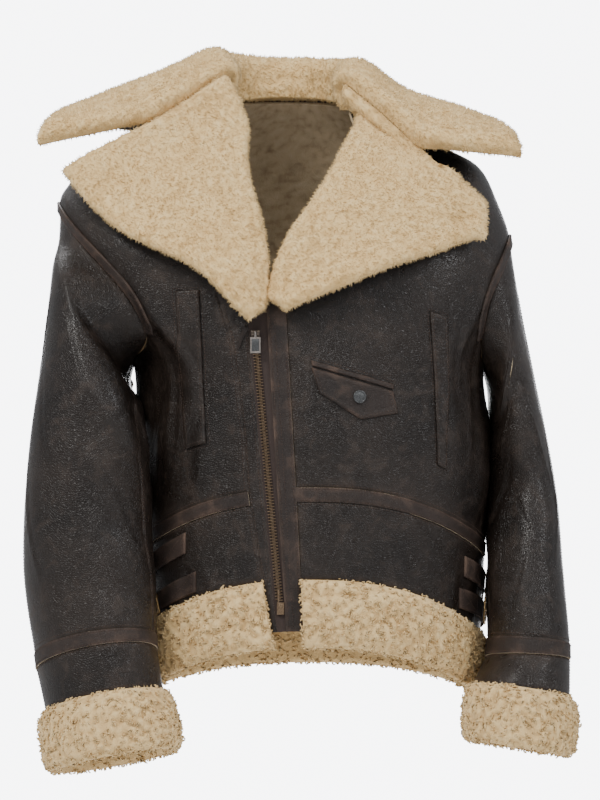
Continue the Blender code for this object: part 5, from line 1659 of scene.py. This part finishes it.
def lamp(name, place, size, energy, colour):
    light = bpy.data.lights.new(name, "AREA")
    light.shape, light.size, light.size_y = "RECTANGLE", size[0], size[1]
    light.energy, light.color = energy, colour
    holder = bpy.data.objects.new(name, light)
    holder.location = place
    holder.rotation_euler = (Vector(STUDIO_MIDDLE) - Vector(place)).to_track_quat("-Z", "Y").to_euler()
    bpy.context.scene.collection.objects.link(holder)


def studio():
    """Pale floor well below, soft lamps in front and above, and a bright patch of sky behind."""
    bpy.ops.object.select_all(action="DESELECT")
    bpy.ops.mesh.primitive_plane_add(size=40.0, location=(0, -13.0, -1.5))
    ground = bpy.context.object
    ground.name = "studio_floor"
    bpy.ops.object.transform_apply(location=True, rotation=True, scale=True)
    made, tree, shader = start_material("studio_floor")
    shader.inputs["Base Color"].default_value = (0.93, 0.93, 0.93, 1)
    shader.inputs["Roughness"].default_value = 0.9
    ground.data.materials.append(made)
    for settings in LAMPS:
        lamp(*settings)
    world = bpy.data.worlds.new("studio")
    world.use_nodes = True
    tree = world.node_tree
    way = add(tree, "SeparateXYZ", {"Vector": add(tree, "TexCoord").outputs["Generated"]})
    sky = spread(tree, way.outputs["Z"], -0.2, 0.9, 0.45, 0.75)
    patch = spread(tree, way.outputs["Y"], 0.95, 0.985, 0.0, 7.0)
    tree.nodes["Background"].inputs["Color"].default_value = (0.96, 0.97, 1.0, 1)
    strength = add(tree, "Math", {0: sky, 1: patch}, operation="ADD").outputs["Value"]
    tree.links.new(strength, tree.nodes["Background"].inputs["Strength"])
    bpy.context.scene.world = world


def camera():
    lens = bpy.data.cameras.new("camera")
    lens.sensor_width = SENSOR
    lens.sensor_fit = "VERTICAL"
    lens.sensor_height = SENSOR
    lens.lens = SENSOR * CAMERA_AWAY / CAMERA_SEES
    holder = bpy.data.objects.new("camera", lens)
    holder.location = Vector(CAMERA_AIM) + Vector((0, -CAMERA_AWAY, 0))
    holder.rotation_euler = (math.pi / 2, 0, 0)
    bpy.context.scene.collection.objects.link(holder)
    bpy.context.scene.camera = holder


# ---------------------------------------------------------------- the jacket
camera()
studio()
body_panels()
sleeves()
pockets()
armhole_bands()
straps()
stitching()
snap()
zip_chain()
zip_hardware()
thong()
curly_wools = hem_wool() + cuff_wool()
plush_wools = [collar_wool()] + lapel_wool()
for number, piece in enumerate(curly_wools):
    curly_pile(piece, 100 + number)
for piece, seed in zip(plush_wools, (200, 210, 211)):
    plush_pile(piece, seed)
